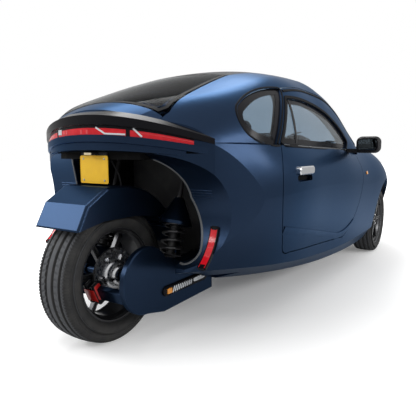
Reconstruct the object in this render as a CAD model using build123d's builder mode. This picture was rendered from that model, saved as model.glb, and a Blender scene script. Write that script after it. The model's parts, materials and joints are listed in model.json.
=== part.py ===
from build123d import *
from math import cos, radians, sin, sqrt, tan
import os

os.makedirs("parts", exist_ok=True)

# Three-wheeled city car: two steered wheels in front, one wheel on a swingarm behind.
# Millimetres.  +X is forward, +Y is left, +Z is up, the road is Z = 0.
# Lengths called "ahead" are measured forward from the rear axle.

# ---- driving dimensions -------------------------------------------------------------
wheelbase = 2480.0
rear_axle_x = -1390.0
front_axle_x = rear_axle_x + wheelbase

rear_tyre_radius = 300.0
rear_tyre_width = 185.0
rear_rim_radius = 205.0
front_tyre_radius = 268.0
front_tyre_width = 165.0
front_rim_radius = 199.0
front_track_half = 567.5        # middle of a front wheel, from the centre line

half_width = 700.0              # body, at the front wings
clearance_height = 165.0        # underside of the floor
waist_height = 640.0            # widest line of the body side
belt_height = 850.0             # foot of the side windows
roof_height = 1318.0            # crown of the roof

shut_gap = 5.0                  # gap round every door, lid and panel that opens
joint_gap = 0.3                 # clearance between pieces that meet on a curved face
skin = 25.0                     # thickness of wings, lids and quarter panels
door_skin = 20.0                # outer part of a door
door_depth = 62.0               # whole door
rail_depth = 40.0               # roof rails and pillars
glass_inset = 9.0               # glass surface below the paint
glass_thickness = 6.0

tail_centre_ahead = 571.0       # the tail is an arc in plan
tail_radius = 675.0
front_arch_radius = 340.0
front_well_inner = 330.0        # inner wall of a front wheel housing
bulkhead_ahead = 500.0          # wall behind the seats
bulkhead_thickness = 20.0
firewall_ahead_of_axle = -420.0
firewall_thickness = 20.0
sill_height = 245.0             # top of the floor tray, foot of the body sides

tail_centre_x = rear_axle_x + tail_centre_ahead
tail_x = tail_centre_x - tail_radius
bulkhead_x = rear_axle_x + bulkhead_ahead
firewall_x = front_axle_x + firewall_ahead_of_axle
nose_ahead_of_axle = 600.0
nose_x = front_axle_x + nose_ahead_of_axle
beyond = 400.0                  # how far cutting shapes run past the body


def ahead(distance):
    """x of a point that lies this far forward of the rear axle"""
    return rear_axle_x + distance


def past_front(distance):
    """x of a point that lies this far forward of the front axle"""
    return front_axle_x + distance


# ---- body forms ----------------------------------------------------------------------
# Lower body, one row for each section across the car.
# columns: x, floor rise, floor tuck, crease rise, crease tuck, waist drop, waist tuck,
#          shoulder rise, shoulder tuck, crown rise
# rises of floor and crease are above clearance_height, the waist drop is below
# waist_height, shoulder and crown rise above belt_height, tucks are inside half_width
lower_rows = [
    (ahead(-200), 135, 570, 195, 370, 0, 290, 10, 330, 80),
    (ahead(120), 115, 500, 180, 245, 20, 165, 15, 200, 100),
    (ahead(450), 35, 450, 150, 115, 0, 42, 10, 88, 100),
    (ahead(1000), 0, 220, 95, 75, -10, 24, 2, 78, 80),
    (ahead(1500), -5, 120, 75, 50, 10, 16, -5, 78, 75),
    (past_front(-480), 5, 85, 85, 35, 40, 6, 20, 180, 62),
    (past_front(0), 35, 100, 105, 35, 50, 0, -20, 180, 18),
    (past_front(320), 35, 200, 105, 125, 140, 75, -145, 250, -85),
    (past_front(520), 55, 370, 115, 300, 190, 240, -250, 380, -220),
    (past_front(600), 105, 500, 145, 460, 220, 415, -340, 500, -330),
]

# Greenhouse, one row for each section across the car.
# columns: x, foot drop, foot tuck, glass-top height, glass-top tuck,
#          rail height, rail tuck, roof drop
# the foot drop is below belt_height, glass-top and rail heights are above belt_height,
# the roof drop is below roof_height, tucks are inside half_width
greenhouse_rows = [
    (ahead(-150), 70, 340, 15, 400, 80, 510, 366),
    (ahead(0), 50, 265, 50, 315, 135, 450, 288),
    (ahead(120), 30, 200, 95, 242, 190, 380, 243),
    (ahead(300), 20, 135, 140, 175, 245, 315, 178),
    (ahead(600), 10, 90, 210, 130, 335, 280, 83),
    (ahead(900), 5, 78, 235, 122, 378, 275, 26),
    (ahead(1200), 5, 75, 235, 122, 388, 270, 0),
    (ahead(1350), 5, 75, 225, 125, 360, 260, 13),
    (ahead(1500), 5, 75, 185, 122, 300, 230, 63),
    (ahead(1600), 10, 75, 135, 115, 225, 200, 118),
    (ahead(1750), 15, 78, 55, 100, 115, 170, 203),
    (ahead(1900), 50, 100, 0, 115, 45, 170, 298),
    (ahead(2100), 110, 140, -60, 155, -25, 210, 433),
]


def lower_form(inset):
    """closed solid of the lower body, drawn in by the inset on every side"""
    with BuildPart() as form:
        for row in lower_rows:
            x, floor_up, floor_in, crease_up, crease_in = row[:5]
            waist_down, waist_in, shoulder_up, shoulder_in, crown_up = row[5:]
            floor = (half_width - floor_in - inset, clearance_height + floor_up + inset)
            crease = (half_width - crease_in - inset, clearance_height + crease_up + inset / 2)
            waist = (half_width - waist_in - inset, waist_height - waist_down)
            shoulder = (half_width - shoulder_in - inset, belt_height + shoulder_up - inset)
            crown = (0, belt_height + crown_up - inset)
            with BuildSketch(Plane.YZ.offset(x)):
                with BuildLine():
                    Line((-floor[0], floor[1]), floor)
                    ThreePointArc(shoulder, crown, (-shoulder[0], shoulder[1]))
                    for side in (1, -1):
                        Line((side * floor[0], floor[1]), (side * crease[0], crease[1]))
                        TangentArc((side * waist[0], waist[1]), (side * crease[0], crease[1]),
                                   tangent=(0, -1))
                        TangentArc((side * waist[0], waist[1]), (side * shoulder[0], shoulder[1]),
                                   tangent=(0, 1))
                make_face()
        loft()
    return form.part


def greenhouse_form(inset):
    """closed solid of the windows and roof, drawn in by the inset on every side"""
    with BuildPart() as form:
        for x, foot_down, foot_in, glass_up, glass_in, rail_up, rail_in, roof_down in greenhouse_rows:
            foot = (half_width - foot_in - inset, belt_height - foot_down - inset)
            glass = (half_width - glass_in - inset, belt_height + glass_up - inset / 3)
            rail = (half_width - rail_in - inset / 2, belt_height + rail_up - inset)
            roof = (0, roof_height - roof_down - inset)
            with BuildSketch(Plane.YZ.offset(x)):
                with BuildLine():
                    Line((-foot[0], foot[1]), foot)
                    ThreePointArc(rail, roof, (-rail[0], rail[1]))
                    for side in (1, -1):
                        wall = TangentArc((side * foot[0], foot[1]), (side * glass[0], glass[1]),
                                          tangent=(0, 1))
                        TangentArc(wall @ 1, (side * rail[0], rail[1]), tangent=wall % 1)
                make_face()
        loft()
    return form.part


def side_prism(outline, near, far):
    """prism of a side-view outline (x, z), between two distances right of the centre line"""
    with BuildPart() as prism:
        with BuildSketch(Plane.XZ.offset(near)):
            add(outline)
        extrude(amount=far - near)
    return prism.part


def plan_prism(outline, bottom, top):
    """prism of a plan outline (x, y), between two heights"""
    with BuildPart() as prism:
        with BuildSketch(Plane.XY.offset(bottom)):
            add(outline)
        extrude(amount=top - bottom)
    return prism.part


def end_prism(outline, rear, front):
    """prism of an outline seen from behind (y, z), between two x positions"""
    with BuildPart() as prism:
        with BuildSketch(Plane.YZ.offset(rear)):
            add(outline)
        extrude(amount=front - rear)
    return prism.part


def block(x_range, y_range, z_range):
    """plain cutting block"""
    with BuildPart() as box:
        with Locations((x_range[0], y_range[0], z_range[0])):
            Box(x_range[1] - x_range[0], y_range[1] - y_range[0], z_range[1] - z_range[0],
                align=(Align.MIN, Align.MIN, Align.MIN))
    return box.part


def outline_of(points):
    """closed straight-sided sketch"""
    with BuildSketch() as sketch:
        with BuildLine():
            Polyline(*points, close=True)
        make_face()
    return sketch.sketch


def mirrored_sketch(sketch):
    """outline seen from behind, moved to the other side of the centre line"""
    with BuildSketch() as twin:
        add(sketch.mirror(Plane.YZ))
    return twin.sketch


def symmetric_plan(points):
    """plan outline from its left half, mirrored about the centre line"""
    return outline_of(list(points) + [(x, -y) for x, y in reversed(points) if y])


def grown(outline, amount):
    """outline drawn out (or in, when negative) by an even margin"""
    with BuildSketch() as sketch:
        offset(outline, amount=amount, kind=Kind.INTERSECTION)
    return sketch.sketch


def disc(plane_y, radius_outer, radius_inner, width, x, z):
    """ring about a wheel axle, starting at plane_y and running to the right"""
    with BuildPart() as ring:
        with BuildSketch(Plane.XZ.offset(plane_y)):
            with Locations((x, z)):
                Circle(radius_outer)
                if radius_inner:
                    Circle(radius_inner, mode=Mode.SUBTRACT)
        extrude(amount=width)
    return ring.part


def export(piece, name):
    """label a finished piece and write its file"""
    piece.label = name
    export_step(piece, f"parts/{name}.step")


def mirrored(piece):
    """the same piece on the other side of the centre line"""
    with BuildPart() as twin:
        add(piece.mirror(Plane.XZ))
    return twin.part


def pair(piece):
    """the piece and its twin on the other side of the centre line"""
    return Compound([piece, mirrored(piece)])


lower_outer = lower_form(0)
lower_inner = lower_form(skin)
greenhouse_outer = greenhouse_form(0)
greenhouse_inner = greenhouse_form(rail_depth)

with BuildPart() as hull_outer:
    add(lower_outer)
    add(greenhouse_outer)
with BuildPart() as hull_inner:
    add(lower_inner)
    add(greenhouse_inner)

# ---- outlines ------------------------------------------------------------------------
# door, seen from the side: the skin with its window frame
with BuildSketch() as door_outline:
    with BuildLine():
        Line((ahead(655), 1132), (ahead(497), 862))
        ThreePointArc((ahead(497), 862), (ahead(438), 650), (ahead(500), 410))
        ThreePointArc((ahead(500), 410), (ahead(524), 371), (ahead(585), 357))
        Line((ahead(585), 357), (ahead(1400), 300))
        ThreePointArc((ahead(1400), 300), (ahead(1635), 452), (ahead(1758), 690))
        Line((ahead(1758), 690), (ahead(1782), 885))
        ThreePointArc((ahead(1782), 885), (ahead(1560), 1026), (ahead(1330), 1128))
        ThreePointArc((ahead(1330), 1128), (ahead(990), 1162), (ahead(655), 1132))
    make_face()

# door window
with BuildSketch() as door_window:
    with BuildLine():
        Line((ahead(652), 1083), (ahead(530), 868))
        Line((ahead(530), 868), (ahead(1500), 852))
        Line((ahead(1500), 852), (ahead(1525), 893))
        ThreePointArc((ahead(1525), 893), (ahead(1242), 1024), (ahead(947), 1080))
        ThreePointArc((ahead(947), 1080), (ahead(800), 1088), (ahead(652), 1083))
    make_face()

# quarter window behind the door, pointed at its rear
pillar = 14.0
with BuildSketch() as quarter_outline:
    with BuildLine():
        Line((ahead(494) - pillar, 863), (ahead(655) - pillar, 1130))
        ThreePointArc((ahead(655) - pillar, 1130), (ahead(455), 1100), (ahead(302), 1027))
        ThreePointArc((ahead(302), 1027), (ahead(268.6), 965.2), (ahead(306), 901))
        ThreePointArc((ahead(306), 901), (ahead(390.1), 868.8), (ahead(494) - pillar, 863))
    make_face()

# plan line between the body sides and the hatch, roof and windscreen
centre_line_points = [
    (ahead(-400), 262), (ahead(-30), 300), (ahead(50), 330), (ahead(320), 305),
    (ahead(585), 287), (ahead(1335), 440), (ahead(1800), 588), (ahead(2150), 588),
]
centre_plan = symmetric_plan(centre_line_points)
centre_strip = plan_prism(centre_plan, belt_height - 25, roof_height + beyond)

# rear wheel bay: a funnel in plan, a waisted arch from behind
bay_half_width = 515.0
bay_top = 800.0
bay_plan = symmetric_plan([
    (ahead(-400), bay_half_width), (ahead(105), bay_half_width), (ahead(320), 300),
    (bulkhead_x, 275),
])
with BuildSketch() as bay_arch:
    with BuildLine():
        Polyline((0, 0), (352, 0), (352, 376))
        ThreePointArc((352, 376), (404, 388), (421, 428))
        ThreePointArc((421, 428), (391, 540), (345, 640))
        ThreePointArc((345, 640), (309, 742), (240, bay_top))
        Line((240, bay_top), (0, bay_top))
        mirror(about=Plane.YZ)
    make_face()
with BuildPart() as wheel_bay:
    add(plan_prism(bay_plan, -10, belt_height))
    add(end_prism(bay_arch.sketch, ahead(-400), bulkhead_x + 1), mode=Mode.INTERSECT)

# the body ends behind in a hollow with a level axis, which frames the bay
hollow_centre = (ahead(-84), 579.0)
hollow_radius = 257.0
hollow_foot = (ahead(48), 359.0)
with BuildSketch() as hollow_outline:
    with Locations(hollow_centre):
        Circle(hollow_radius)
    Polygon((ahead(-400), 0), (hollow_foot[0], 0), hollow_foot, hollow_centre,
            (hollow_centre[0], hollow_centre[1] + hollow_radius),
            (ahead(-400), hollow_centre[1] + hollow_radius), align=None)
tail_hollow = side_prism(hollow_outline.sketch, -half_width, half_width)

# tail crescent: outer arc of the tail, inner arc meeting it at the corners
crescent_depth = 45.0
tail_tip_half = 500.0
tail_tip_x = tail_centre_x - sqrt(tail_radius**2 - tail_tip_half**2)
inner_sag = tail_tip_x - (tail_x + crescent_depth)
inner_arc_radius = (tail_tip_half**2 + inner_sag**2) / (2 * inner_sag)


def tail_cutter(outer_draw_in):
    """everything behind the tail arc, which is drawn in by a margin"""
    radius = tail_radius - outer_draw_in
    with BuildPart() as cutter:
        with BuildSketch(Plane.XY.offset(0)):
            with Locations((tail_centre_x - beyond, 0)):
                Rectangle(2 * beyond, 4 * half_width)
            with Locations((tail_centre_x, 0)):
                Circle(radius, mode=Mode.SUBTRACT)
        extrude(amount=roof_height)
    return cutter.part


with BuildPart() as behind_inner_arc:
    with BuildSketch(Plane.XY):
        with Locations((tail_x - beyond, 0)):
            Rectangle(2 * (tail_tip_x - tail_x + beyond), 2 * tail_tip_half)
        with Locations((tail_x + crescent_depth + inner_arc_radius, 0)):
            Circle(inner_arc_radius, mode=Mode.SUBTRACT)
    extrude(amount=roof_height)

# tail layers: heights at the rearmost point and at the corners
lip_bottom = (942.0, 860.0)
lamp_bottom = (902.0, 842.0)
strip_bottom = (874.0, 816.0)
valance_bottom = (841.0, 806.0)


def fall(pair, x):
    """height of a plane that falls from the rearmost point towards the corners"""
    return pair[0] + (pair[1] - pair[0]) * (x - tail_x) / (tail_tip_x - tail_x)


def between(upper, lower):
    """slab between two planes that fall towards the corners"""
    rear = tail_x - 100
    front = tail_tip_x + 40
    corners = [(rear, fall(upper, rear)), (front, fall(upper, front)),
               (front, fall(lower, front)), (rear, fall(lower, rear))]
    return side_prism(outline_of(corners), -half_width, half_width)


def tail_layer(upper, lower, draw_in):
    """slice of the tail crescent between two planes"""
    with BuildPart() as layer:
        add(behind_inner_arc.part)
        add(between(upper, lower), mode=Mode.INTERSECT)
        add(tail_cutter(draw_in), mode=Mode.SUBTRACT)
    return layer.part


# ---- body sides ----------------------------------------------------------------------
wing_joint_x = ahead(1620)      # foot of the wing, under the door
pillar_foot_x = ahead(1960)

with BuildPart() as under_wing:
    add(block((wing_joint_x, pillar_foot_x), (-half_width - beyond, 0), (0, roof_height)))
    add(lower_outer, mode=Mode.INTERSECT)

flange_front_x = ahead(215)     # the sides are solid from the hollow to here
flange_inner = 238.0
trunk_floor = 24.0
with BuildPart() as shell_void:
    add(hull_inner.part)
    add(block((tail_x - beyond, flange_front_x), (-half_width - beyond, -flange_inner),
              (0, bay_top + trunk_floor)), mode=Mode.SUBTRACT)

with BuildPart() as body_side_right:
    add(block((tail_x - beyond, pillar_foot_x), (-half_width - beyond, -100),
              (sill_height, roof_height + beyond)))
    add(centre_strip, mode=Mode.SUBTRACT)
    add(side_prism(grown(door_outline.sketch, shut_gap), 100, half_width + beyond),
        mode=Mode.SUBTRACT)
    add(side_prism(quarter_outline.sketch, 100, half_width + beyond), mode=Mode.SUBTRACT)
    add(wheel_bay.part, mode=Mode.SUBTRACT)
    add(behind_inner_arc.part, mode=Mode.SUBTRACT)
    add(tail_cutter(0), mode=Mode.SUBTRACT)
    add(tail_hollow, mode=Mode.SUBTRACT)
    add(hull_outer.part, mode=Mode.INTERSECT)
    add(shell_void.part, mode=Mode.SUBTRACT)
    add(under_wing.part, mode=Mode.SUBTRACT)
export(pair(body_side_right.part), "body_sides")

# ---- front wings, hood, bumper, cowl -------------------------------------------------
hood_rear_x = past_front(-355)
hood_front_x = past_front(450)
wing_front_x = past_front(362)
front_axle_z = front_tyre_radius
hood_plan = symmetric_plan([
    (hood_rear_x, 0), (hood_rear_x, 510), (hood_rear_x + 90, 510), (past_front(120), 470),
    (past_front(330), 395),
    (hood_front_x, 300), (hood_front_x, 0),
])
lid_low = 480.0                 # the hood's prism starts here, well under its edges

with BuildPart() as lower_shell:
    add(block((ahead(1380), nose_x), (-half_width - beyond, half_width + beyond),
              (sill_height - 40, roof_height)))
    add(lower_outer, mode=Mode.INTERSECT)
    add(lower_inner, mode=Mode.SUBTRACT)

with BuildPart() as hood:
    add(lower_shell.part)
    add(plan_prism(hood_plan, lid_low, roof_height), mode=Mode.INTERSECT)
export(hood.part, "hood")

front_arch = disc(front_well_inner, front_arch_radius, 0, beyond, front_axle_x, front_axle_z)
arch_below = block((front_axle_x - front_arch_radius, front_axle_x + front_arch_radius),
                   (-front_well_inner - beyond, -front_well_inner), (-10, front_axle_z))

with BuildPart() as wing_right:
    add(lower_shell.part)
    add(block((ahead(1380), wing_front_x), (-half_width - beyond, -250),
              (sill_height, roof_height)), mode=Mode.INTERSECT)
    add(block((ahead(1380), wing_joint_x), (-half_width - beyond, 0), (0, roof_height)),
        mode=Mode.SUBTRACT)
    add(side_prism(grown(door_outline.sketch, shut_gap), 100, half_width + beyond),
        mode=Mode.SUBTRACT)
    add(plan_prism(grown(hood_plan, shut_gap), lid_low, roof_height), mode=Mode.SUBTRACT)
    add(centre_strip, mode=Mode.SUBTRACT)
    add(front_arch, mode=Mode.SUBTRACT)
    add(arch_below, mode=Mode.SUBTRACT)
    add(greenhouse_outer, mode=Mode.SUBTRACT)
export(pair(wing_right.part), "front_wings")

# cowl between windscreen and hood
with BuildPart() as cowl:
    add(lower_shell.part)
    add(block((ahead(1500), hood_rear_x - shut_gap), (-half_width, half_width),
              (belt_height - 60, roof_height)), mode=Mode.INTERSECT)
    add(centre_strip, mode=Mode.INTERSECT)
    add(greenhouse_outer, mode=Mode.SUBTRACT)
export(Part() + cowl.part.solids().sort_by(SortBy.VOLUME)[-1], "cowl")

# nose: bumper skin with its grille opening and lamp openings
lamp_centre_y = 405.0
lamp_centre_z = 600.0
lamp_size = (150.0, 92.0)
grille_size = (430.0, 90.0)
grille_z = 385.0
with BuildSketch() as lamp_outline:
    with Locations((-lamp_centre_y, lamp_centre_z)):
        Ellipse(lamp_size[0] / 2, lamp_size[1] / 2)
with BuildSketch() as grille_outline:
    with Locations((0, grille_z)):
        RectangleRounded(grille_size[0], grille_size[1], 30)
nose_void = lower_inner.moved(Location((-skin, 0, 0)))
with BuildPart() as front_bumper:
    add(block((wing_front_x + shut_gap / 2, nose_x), (-half_width, half_width),
              (sill_height - 40, roof_height)))
    add(plan_prism(grown(hood_plan, shut_gap), lid_low, roof_height), mode=Mode.SUBTRACT)
    add(lower_outer, mode=Mode.INTERSECT)
    add(nose_void, mode=Mode.SUBTRACT)
    for outline in (lamp_outline.sketch, mirrored_sketch(lamp_outline.sketch)):
        add(end_prism(outline, past_front(200), nose_x + 50), mode=Mode.SUBTRACT)
    add(end_prism(grille_outline.sketch, past_front(400), nose_x + 50), mode=Mode.SUBTRACT)
export(front_bumper.part, "front_bumper")

# ---- lamps and grille at the nose ----------------------------------------------------
lamp_back_x = past_front(330)
lamp_inset = 3.0
with BuildPart() as headlamp_right:
    with BuildSketch(Plane.YZ.offset(lamp_back_x)):
        with Locations((-lamp_centre_y, lamp_centre_z)):
            Ellipse(lamp_size[0] / 2 - joint_gap, lamp_size[1] / 2 - joint_gap)
    extrude(amount=nose_x + 50 - lamp_back_x)
    add(lower_form(lamp_inset), mode=Mode.INTERSECT)
export(pair(headlamp_right.part), "headlamps")

grille_bar = 8.0
grille_bars = 4
grille_depth = 30.0
grille_front_x = nose_x - 4.0
with BuildPart() as front_grille:
    with BuildSketch(Plane.YZ.offset(grille_front_x - grille_depth)) as grille_face:
        with Locations((0, grille_z)):
            RectangleRounded(grille_size[0] - 2 * joint_gap, grille_size[1] - 2 * joint_gap, 30)
            RectangleRounded(grille_size[0] - 24, grille_size[1] - 24, 20, mode=Mode.SUBTRACT)
            with GridLocations(0, (grille_size[1] - 24) / grille_bars, 1, grille_bars - 1):
                Rectangle(grille_size[0] - 20, grille_bar)
    extrude(amount=grille_depth)
export(front_grille.part, "front_grille")

# ---- roof, windscreen, hatch ---------------------------------------------------------
hatch_hinge_x = ahead(592)
roof_front_x = ahead(1345)
roof_skin = 25.0
greenhouse_roof_inner = greenhouse_form(roof_skin)
with BuildPart() as roof_shell:
    add(centre_strip)
    add(greenhouse_outer, mode=Mode.INTERSECT)
    add(greenhouse_roof_inner, mode=Mode.SUBTRACT)

with BuildPart() as roof_panel:
    add(roof_shell.part)
    add(block((hatch_hinge_x, roof_front_x), (-half_width, half_width),
              (belt_height, roof_height + beyond)), mode=Mode.INTERSECT)
export(roof_panel.part, "roof_panel")

screen_inset = 4.0
with BuildPart() as windscreen:
    add(centre_strip)
    add(block((roof_front_x, ahead(2095)), (-half_width, half_width),
              (belt_height - 25, roof_height + beyond)), mode=Mode.INTERSECT)
    add(greenhouse_form(screen_inset), mode=Mode.INTERSECT)
    add(greenhouse_form(screen_inset + glass_thickness), mode=Mode.SUBTRACT)
    add(lower_outer, mode=Mode.SUBTRACT)
export(windscreen.part, "windscreen")

glass_foot_x = ahead(22)
hatch_glass_thickness = 6.0
hatch_rim = 40.0
hatch_plan = grown(symmetric_plan([
    (ahead(-400), 262), (ahead(-30), 300), (ahead(50), 330), (ahead(320), 305),
    (hatch_hinge_x, 287),
]), -shut_gap)
hatch_opening_plan = symmetric_plan([
    (glass_foot_x + hatch_rim, 278), (ahead(320), 258), (hatch_hinge_x - hatch_rim, 240),
])
with BuildPart() as glass_zone:
    add(plan_prism(hatch_plan, belt_height, roof_height))
    add(block((glass_foot_x, hatch_hinge_x), (-half_width, half_width),
              (belt_height, roof_height)), mode=Mode.INTERSECT)

with BuildPart() as hatch_skin:
    add(roof_shell.part)
    add(plan_prism(hatch_plan, belt_height, roof_height), mode=Mode.INTERSECT)
    add(behind_inner_arc.part, mode=Mode.SUBTRACT)
with BuildPart() as rear_glass:
    add(hatch_skin.part)
    add(glass_zone.part, mode=Mode.INTERSECT)
    add(greenhouse_form(hatch_glass_thickness), mode=Mode.SUBTRACT)
export(rear_glass.part, "rear_glass")
with BuildPart() as hatch_panel:
    add(hatch_skin.part)
    add(rear_glass.part, mode=Mode.SUBTRACT)
    add(plan_prism(hatch_opening_plan, belt_height, roof_height), mode=Mode.SUBTRACT)
export(hatch_panel.part, "hatch_panel")

# ---- tail ----------------------------------------------------------------------------
# lip: its upper face is part of a round barrel that rises forward to meet the hatch
lip_edge_z = 980.0
lip_barrel_radius = 750.0
lip_rise = 0.42
with BuildPart() as tail_spoiler:
    add(behind_inner_arc.part)
    add(tail_cutter(0), mode=Mode.SUBTRACT)
    add(between((roof_height, roof_height), lip_bottom), mode=Mode.INTERSECT)
    with BuildSketch(Plane.YZ.offset(tail_x - 100)):
        with Locations((0, lip_edge_z - 100 * lip_rise - lip_barrel_radius)):
            Circle(lip_barrel_radius)
    extrude(amount=500, dir=(1, 0, lip_rise), mode=Mode.INTERSECT)
export(tail_spoiler.part, "tail_spoiler")

lamp_draw_in = 12.0
lens_thickness = 10.0
with BuildPart() as lamp_layer:
    add(tail_layer(lip_bottom, lamp_bottom, lamp_draw_in))
lens_reach = 2 * tail_radius


def lens_of(slope_left, slope_right):
    """lens between two rays from the centre of the tail arc, as y over distance behind it"""
    with BuildPart() as lens:
        add(lamp_layer.part)
        add(plan_prism(outline_of([
            (tail_centre_x, 0), (tail_centre_x - lens_reach, lens_reach * slope_left),
            (tail_centre_x - lens_reach, -lens_reach * slope_right),
        ]), 0, roof_height), mode=Mode.INTERSECT)
        with BuildSketch(Plane.XY):
            with Locations((tail_centre_x, 0)):
                Circle(tail_radius - lamp_draw_in - lens_thickness)
        extrude(amount=roof_height, mode=Mode.SUBTRACT)
        add(between((932, 857), (899, 847)), mode=Mode.INTERSECT)
    return lens.part


lens_centre = lens_of(0.315, 0.315)
lens_right = lens_of(-0.345, 0.94)

# corner lamps on the hollow, near the ends of the body sides
corner_lamp_z = (376.0, 516.0)
corner_lamp_y = (457.0, 487.0)
with BuildPart() as corner_lamp_right:
    with BuildSketch(Plane.XZ.offset(corner_lamp_y[0])):
        with Locations(hollow_centre):
            Circle(hollow_radius)
            Circle(hollow_radius - 8, mode=Mode.SUBTRACT)
        with Locations((ahead(200), sum(corner_lamp_z) / 2)):
            Rectangle(300, corner_lamp_z[1] - corner_lamp_z[0], mode=Mode.INTERSECT)
    extrude(amount=corner_lamp_y[1] - corner_lamp_y[0])
export(Compound([lens_centre, lens_right, mirrored(lens_right), corner_lamp_right.part,
                 mirrored(corner_lamp_right.part)]), "tail_lamps")
with BuildPart() as tail_lamp_housing:
    add(lamp_layer.part)
    for lens in (lens_centre, lens_right, mirrored(lens_right)):
        add(lens, mode=Mode.SUBTRACT)
export(tail_lamp_housing.part, "tail_lamp_housing")

with BuildPart() as rear_bumper:
    add(tail_layer(lamp_bottom, strip_bottom, 4))
    add(tail_layer(strip_bottom, valance_bottom, 16))
export(rear_bumper.part, "rear_bumper")

# ---- doors ---------------------------------------------------------------------------
door_rim = shut_gap + 13.0      # width of the skin round the door's box
door_box_inner = 505.0          # the box comes no nearer the centre line, low down
grip_z = 744.0
scoop_z = 708.0
scoop_size = (176.0, 29.0)
scoop_floor = 650.0
grip_x = ahead(660)
with BuildPart() as door_rim_ring:
    add(side_prism(door_outline.sketch, 250, half_width + beyond))
    add(side_prism(grown(door_outline.sketch, -door_rim), 250, half_width + beyond),
        mode=Mode.SUBTRACT)
with BuildPart() as door_right:
    add(side_prism(door_outline.sketch, 250, half_width + beyond))
    add(side_prism(door_window.sketch, 250, half_width + beyond), mode=Mode.SUBTRACT)
    add(block((ahead(430), ahead(1800)), (-door_box_inner, 0), (0, waist_height)),
        mode=Mode.SUBTRACT)
    add(hull_outer.part, mode=Mode.INTERSECT)
    for form in (lower_form, greenhouse_form):
        add(form(door_depth), mode=Mode.SUBTRACT)
        with BuildPart() as behind_rim:
            add(door_rim_ring.part)
            add(form(door_skin), mode=Mode.INTERSECT)
        add(behind_rim.part, mode=Mode.SUBTRACT)
    with BuildSketch(Plane.XZ.offset(scoop_floor)):
        with Locations((grip_x, scoop_z)):
            RectangleRounded(*scoop_size, 14)
    extrude(amount=100, mode=Mode.SUBTRACT)
export(door_right.part, "door_right")
export(mirrored(door_right.part), "door_left")

# room for a door behind its shut line, in the walls around the rear of the cabin
with BuildPart() as door_recess:
    add(side_prism(grown(door_outline.sketch, shut_gap), 250, half_width + beyond))
    add(block((ahead(430), ahead(640)), (-half_width - beyond, 0), (0, roof_height)),
        mode=Mode.INTERSECT)
    add(lower_form(door_depth + shut_gap), mode=Mode.SUBTRACT)
door_recesses = pair(door_recess.part)

glass_outer_form = greenhouse_form(glass_inset)
glass_inner_form = greenhouse_form(glass_inset + glass_thickness)
with BuildPart() as door_glass_right:
    add(side_prism(door_window.sketch, 250, half_width + beyond))
    add(glass_outer_form, mode=Mode.INTERSECT)
    add(glass_inner_form, mode=Mode.SUBTRACT)
export(door_glass_right.part, "door_glass_right")
export(mirrored(door_glass_right.part), "door_glass_left")
with BuildPart() as quarter_right:
    add(side_prism(quarter_outline.sketch, 250, half_width + beyond))
    add(glass_outer_form, mode=Mode.INTERSECT)
    add(glass_inner_form, mode=Mode.SUBTRACT)
export(pair(quarter_right.part), "quarter_windows")

# ---- wheels --------------------------------------------------------------------------
rear_axle_z = rear_tyre_radius
bead_share = 0.80               # width between the rim flanges over the tyre's width
rim_wall = 7.0
rim_drop = 22.0                 # depth of the well between the rim's beads
spoke_depth = 20.0
spoke_pairs = 6
hub_radius = 38.0
brake_disc_thickness = 10.0


def axle_plane(x, y, z):
    """drawing plane of a wheel's half section: across the car, and out from the axle"""
    return Plane((x, y, z), x_dir=(0, 1, 0), z_dir=(1, 0, 0))


def tyre_of(radius, rim_radius, width, crown, x, y, z):
    """tyre turned about its axle: beads, bulged walls, rounded shoulders and crown"""
    half = width / 2
    bead = half * bead_share
    wall_radius = (radius + rim_radius) / 2
    with BuildPart() as tyre:
        with BuildSketch(axle_plane(x, y, z)):
            with BuildLine():
                Line((-bead, rim_radius), (bead, rim_radius))
                for side in (1, -1):
                    ThreePointArc((side * bead, rim_radius), (side * half, wall_radius),
                                  (side * half * 0.93, radius - crown))
                    ThreePointArc((side * half * 0.93, radius - crown),
                                  (side * half * 0.86, radius - crown * 0.45),
                                  (side * half * 0.74, radius - crown * 0.18))
                ThreePointArc((half * 0.74, radius - crown * 0.18), (0, radius),
                              (-half * 0.74, radius - crown * 0.18))
            make_face()
        revolve(axis=Axis((x, y, z), (0, 1, 0)))
    return tyre.part


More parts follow.
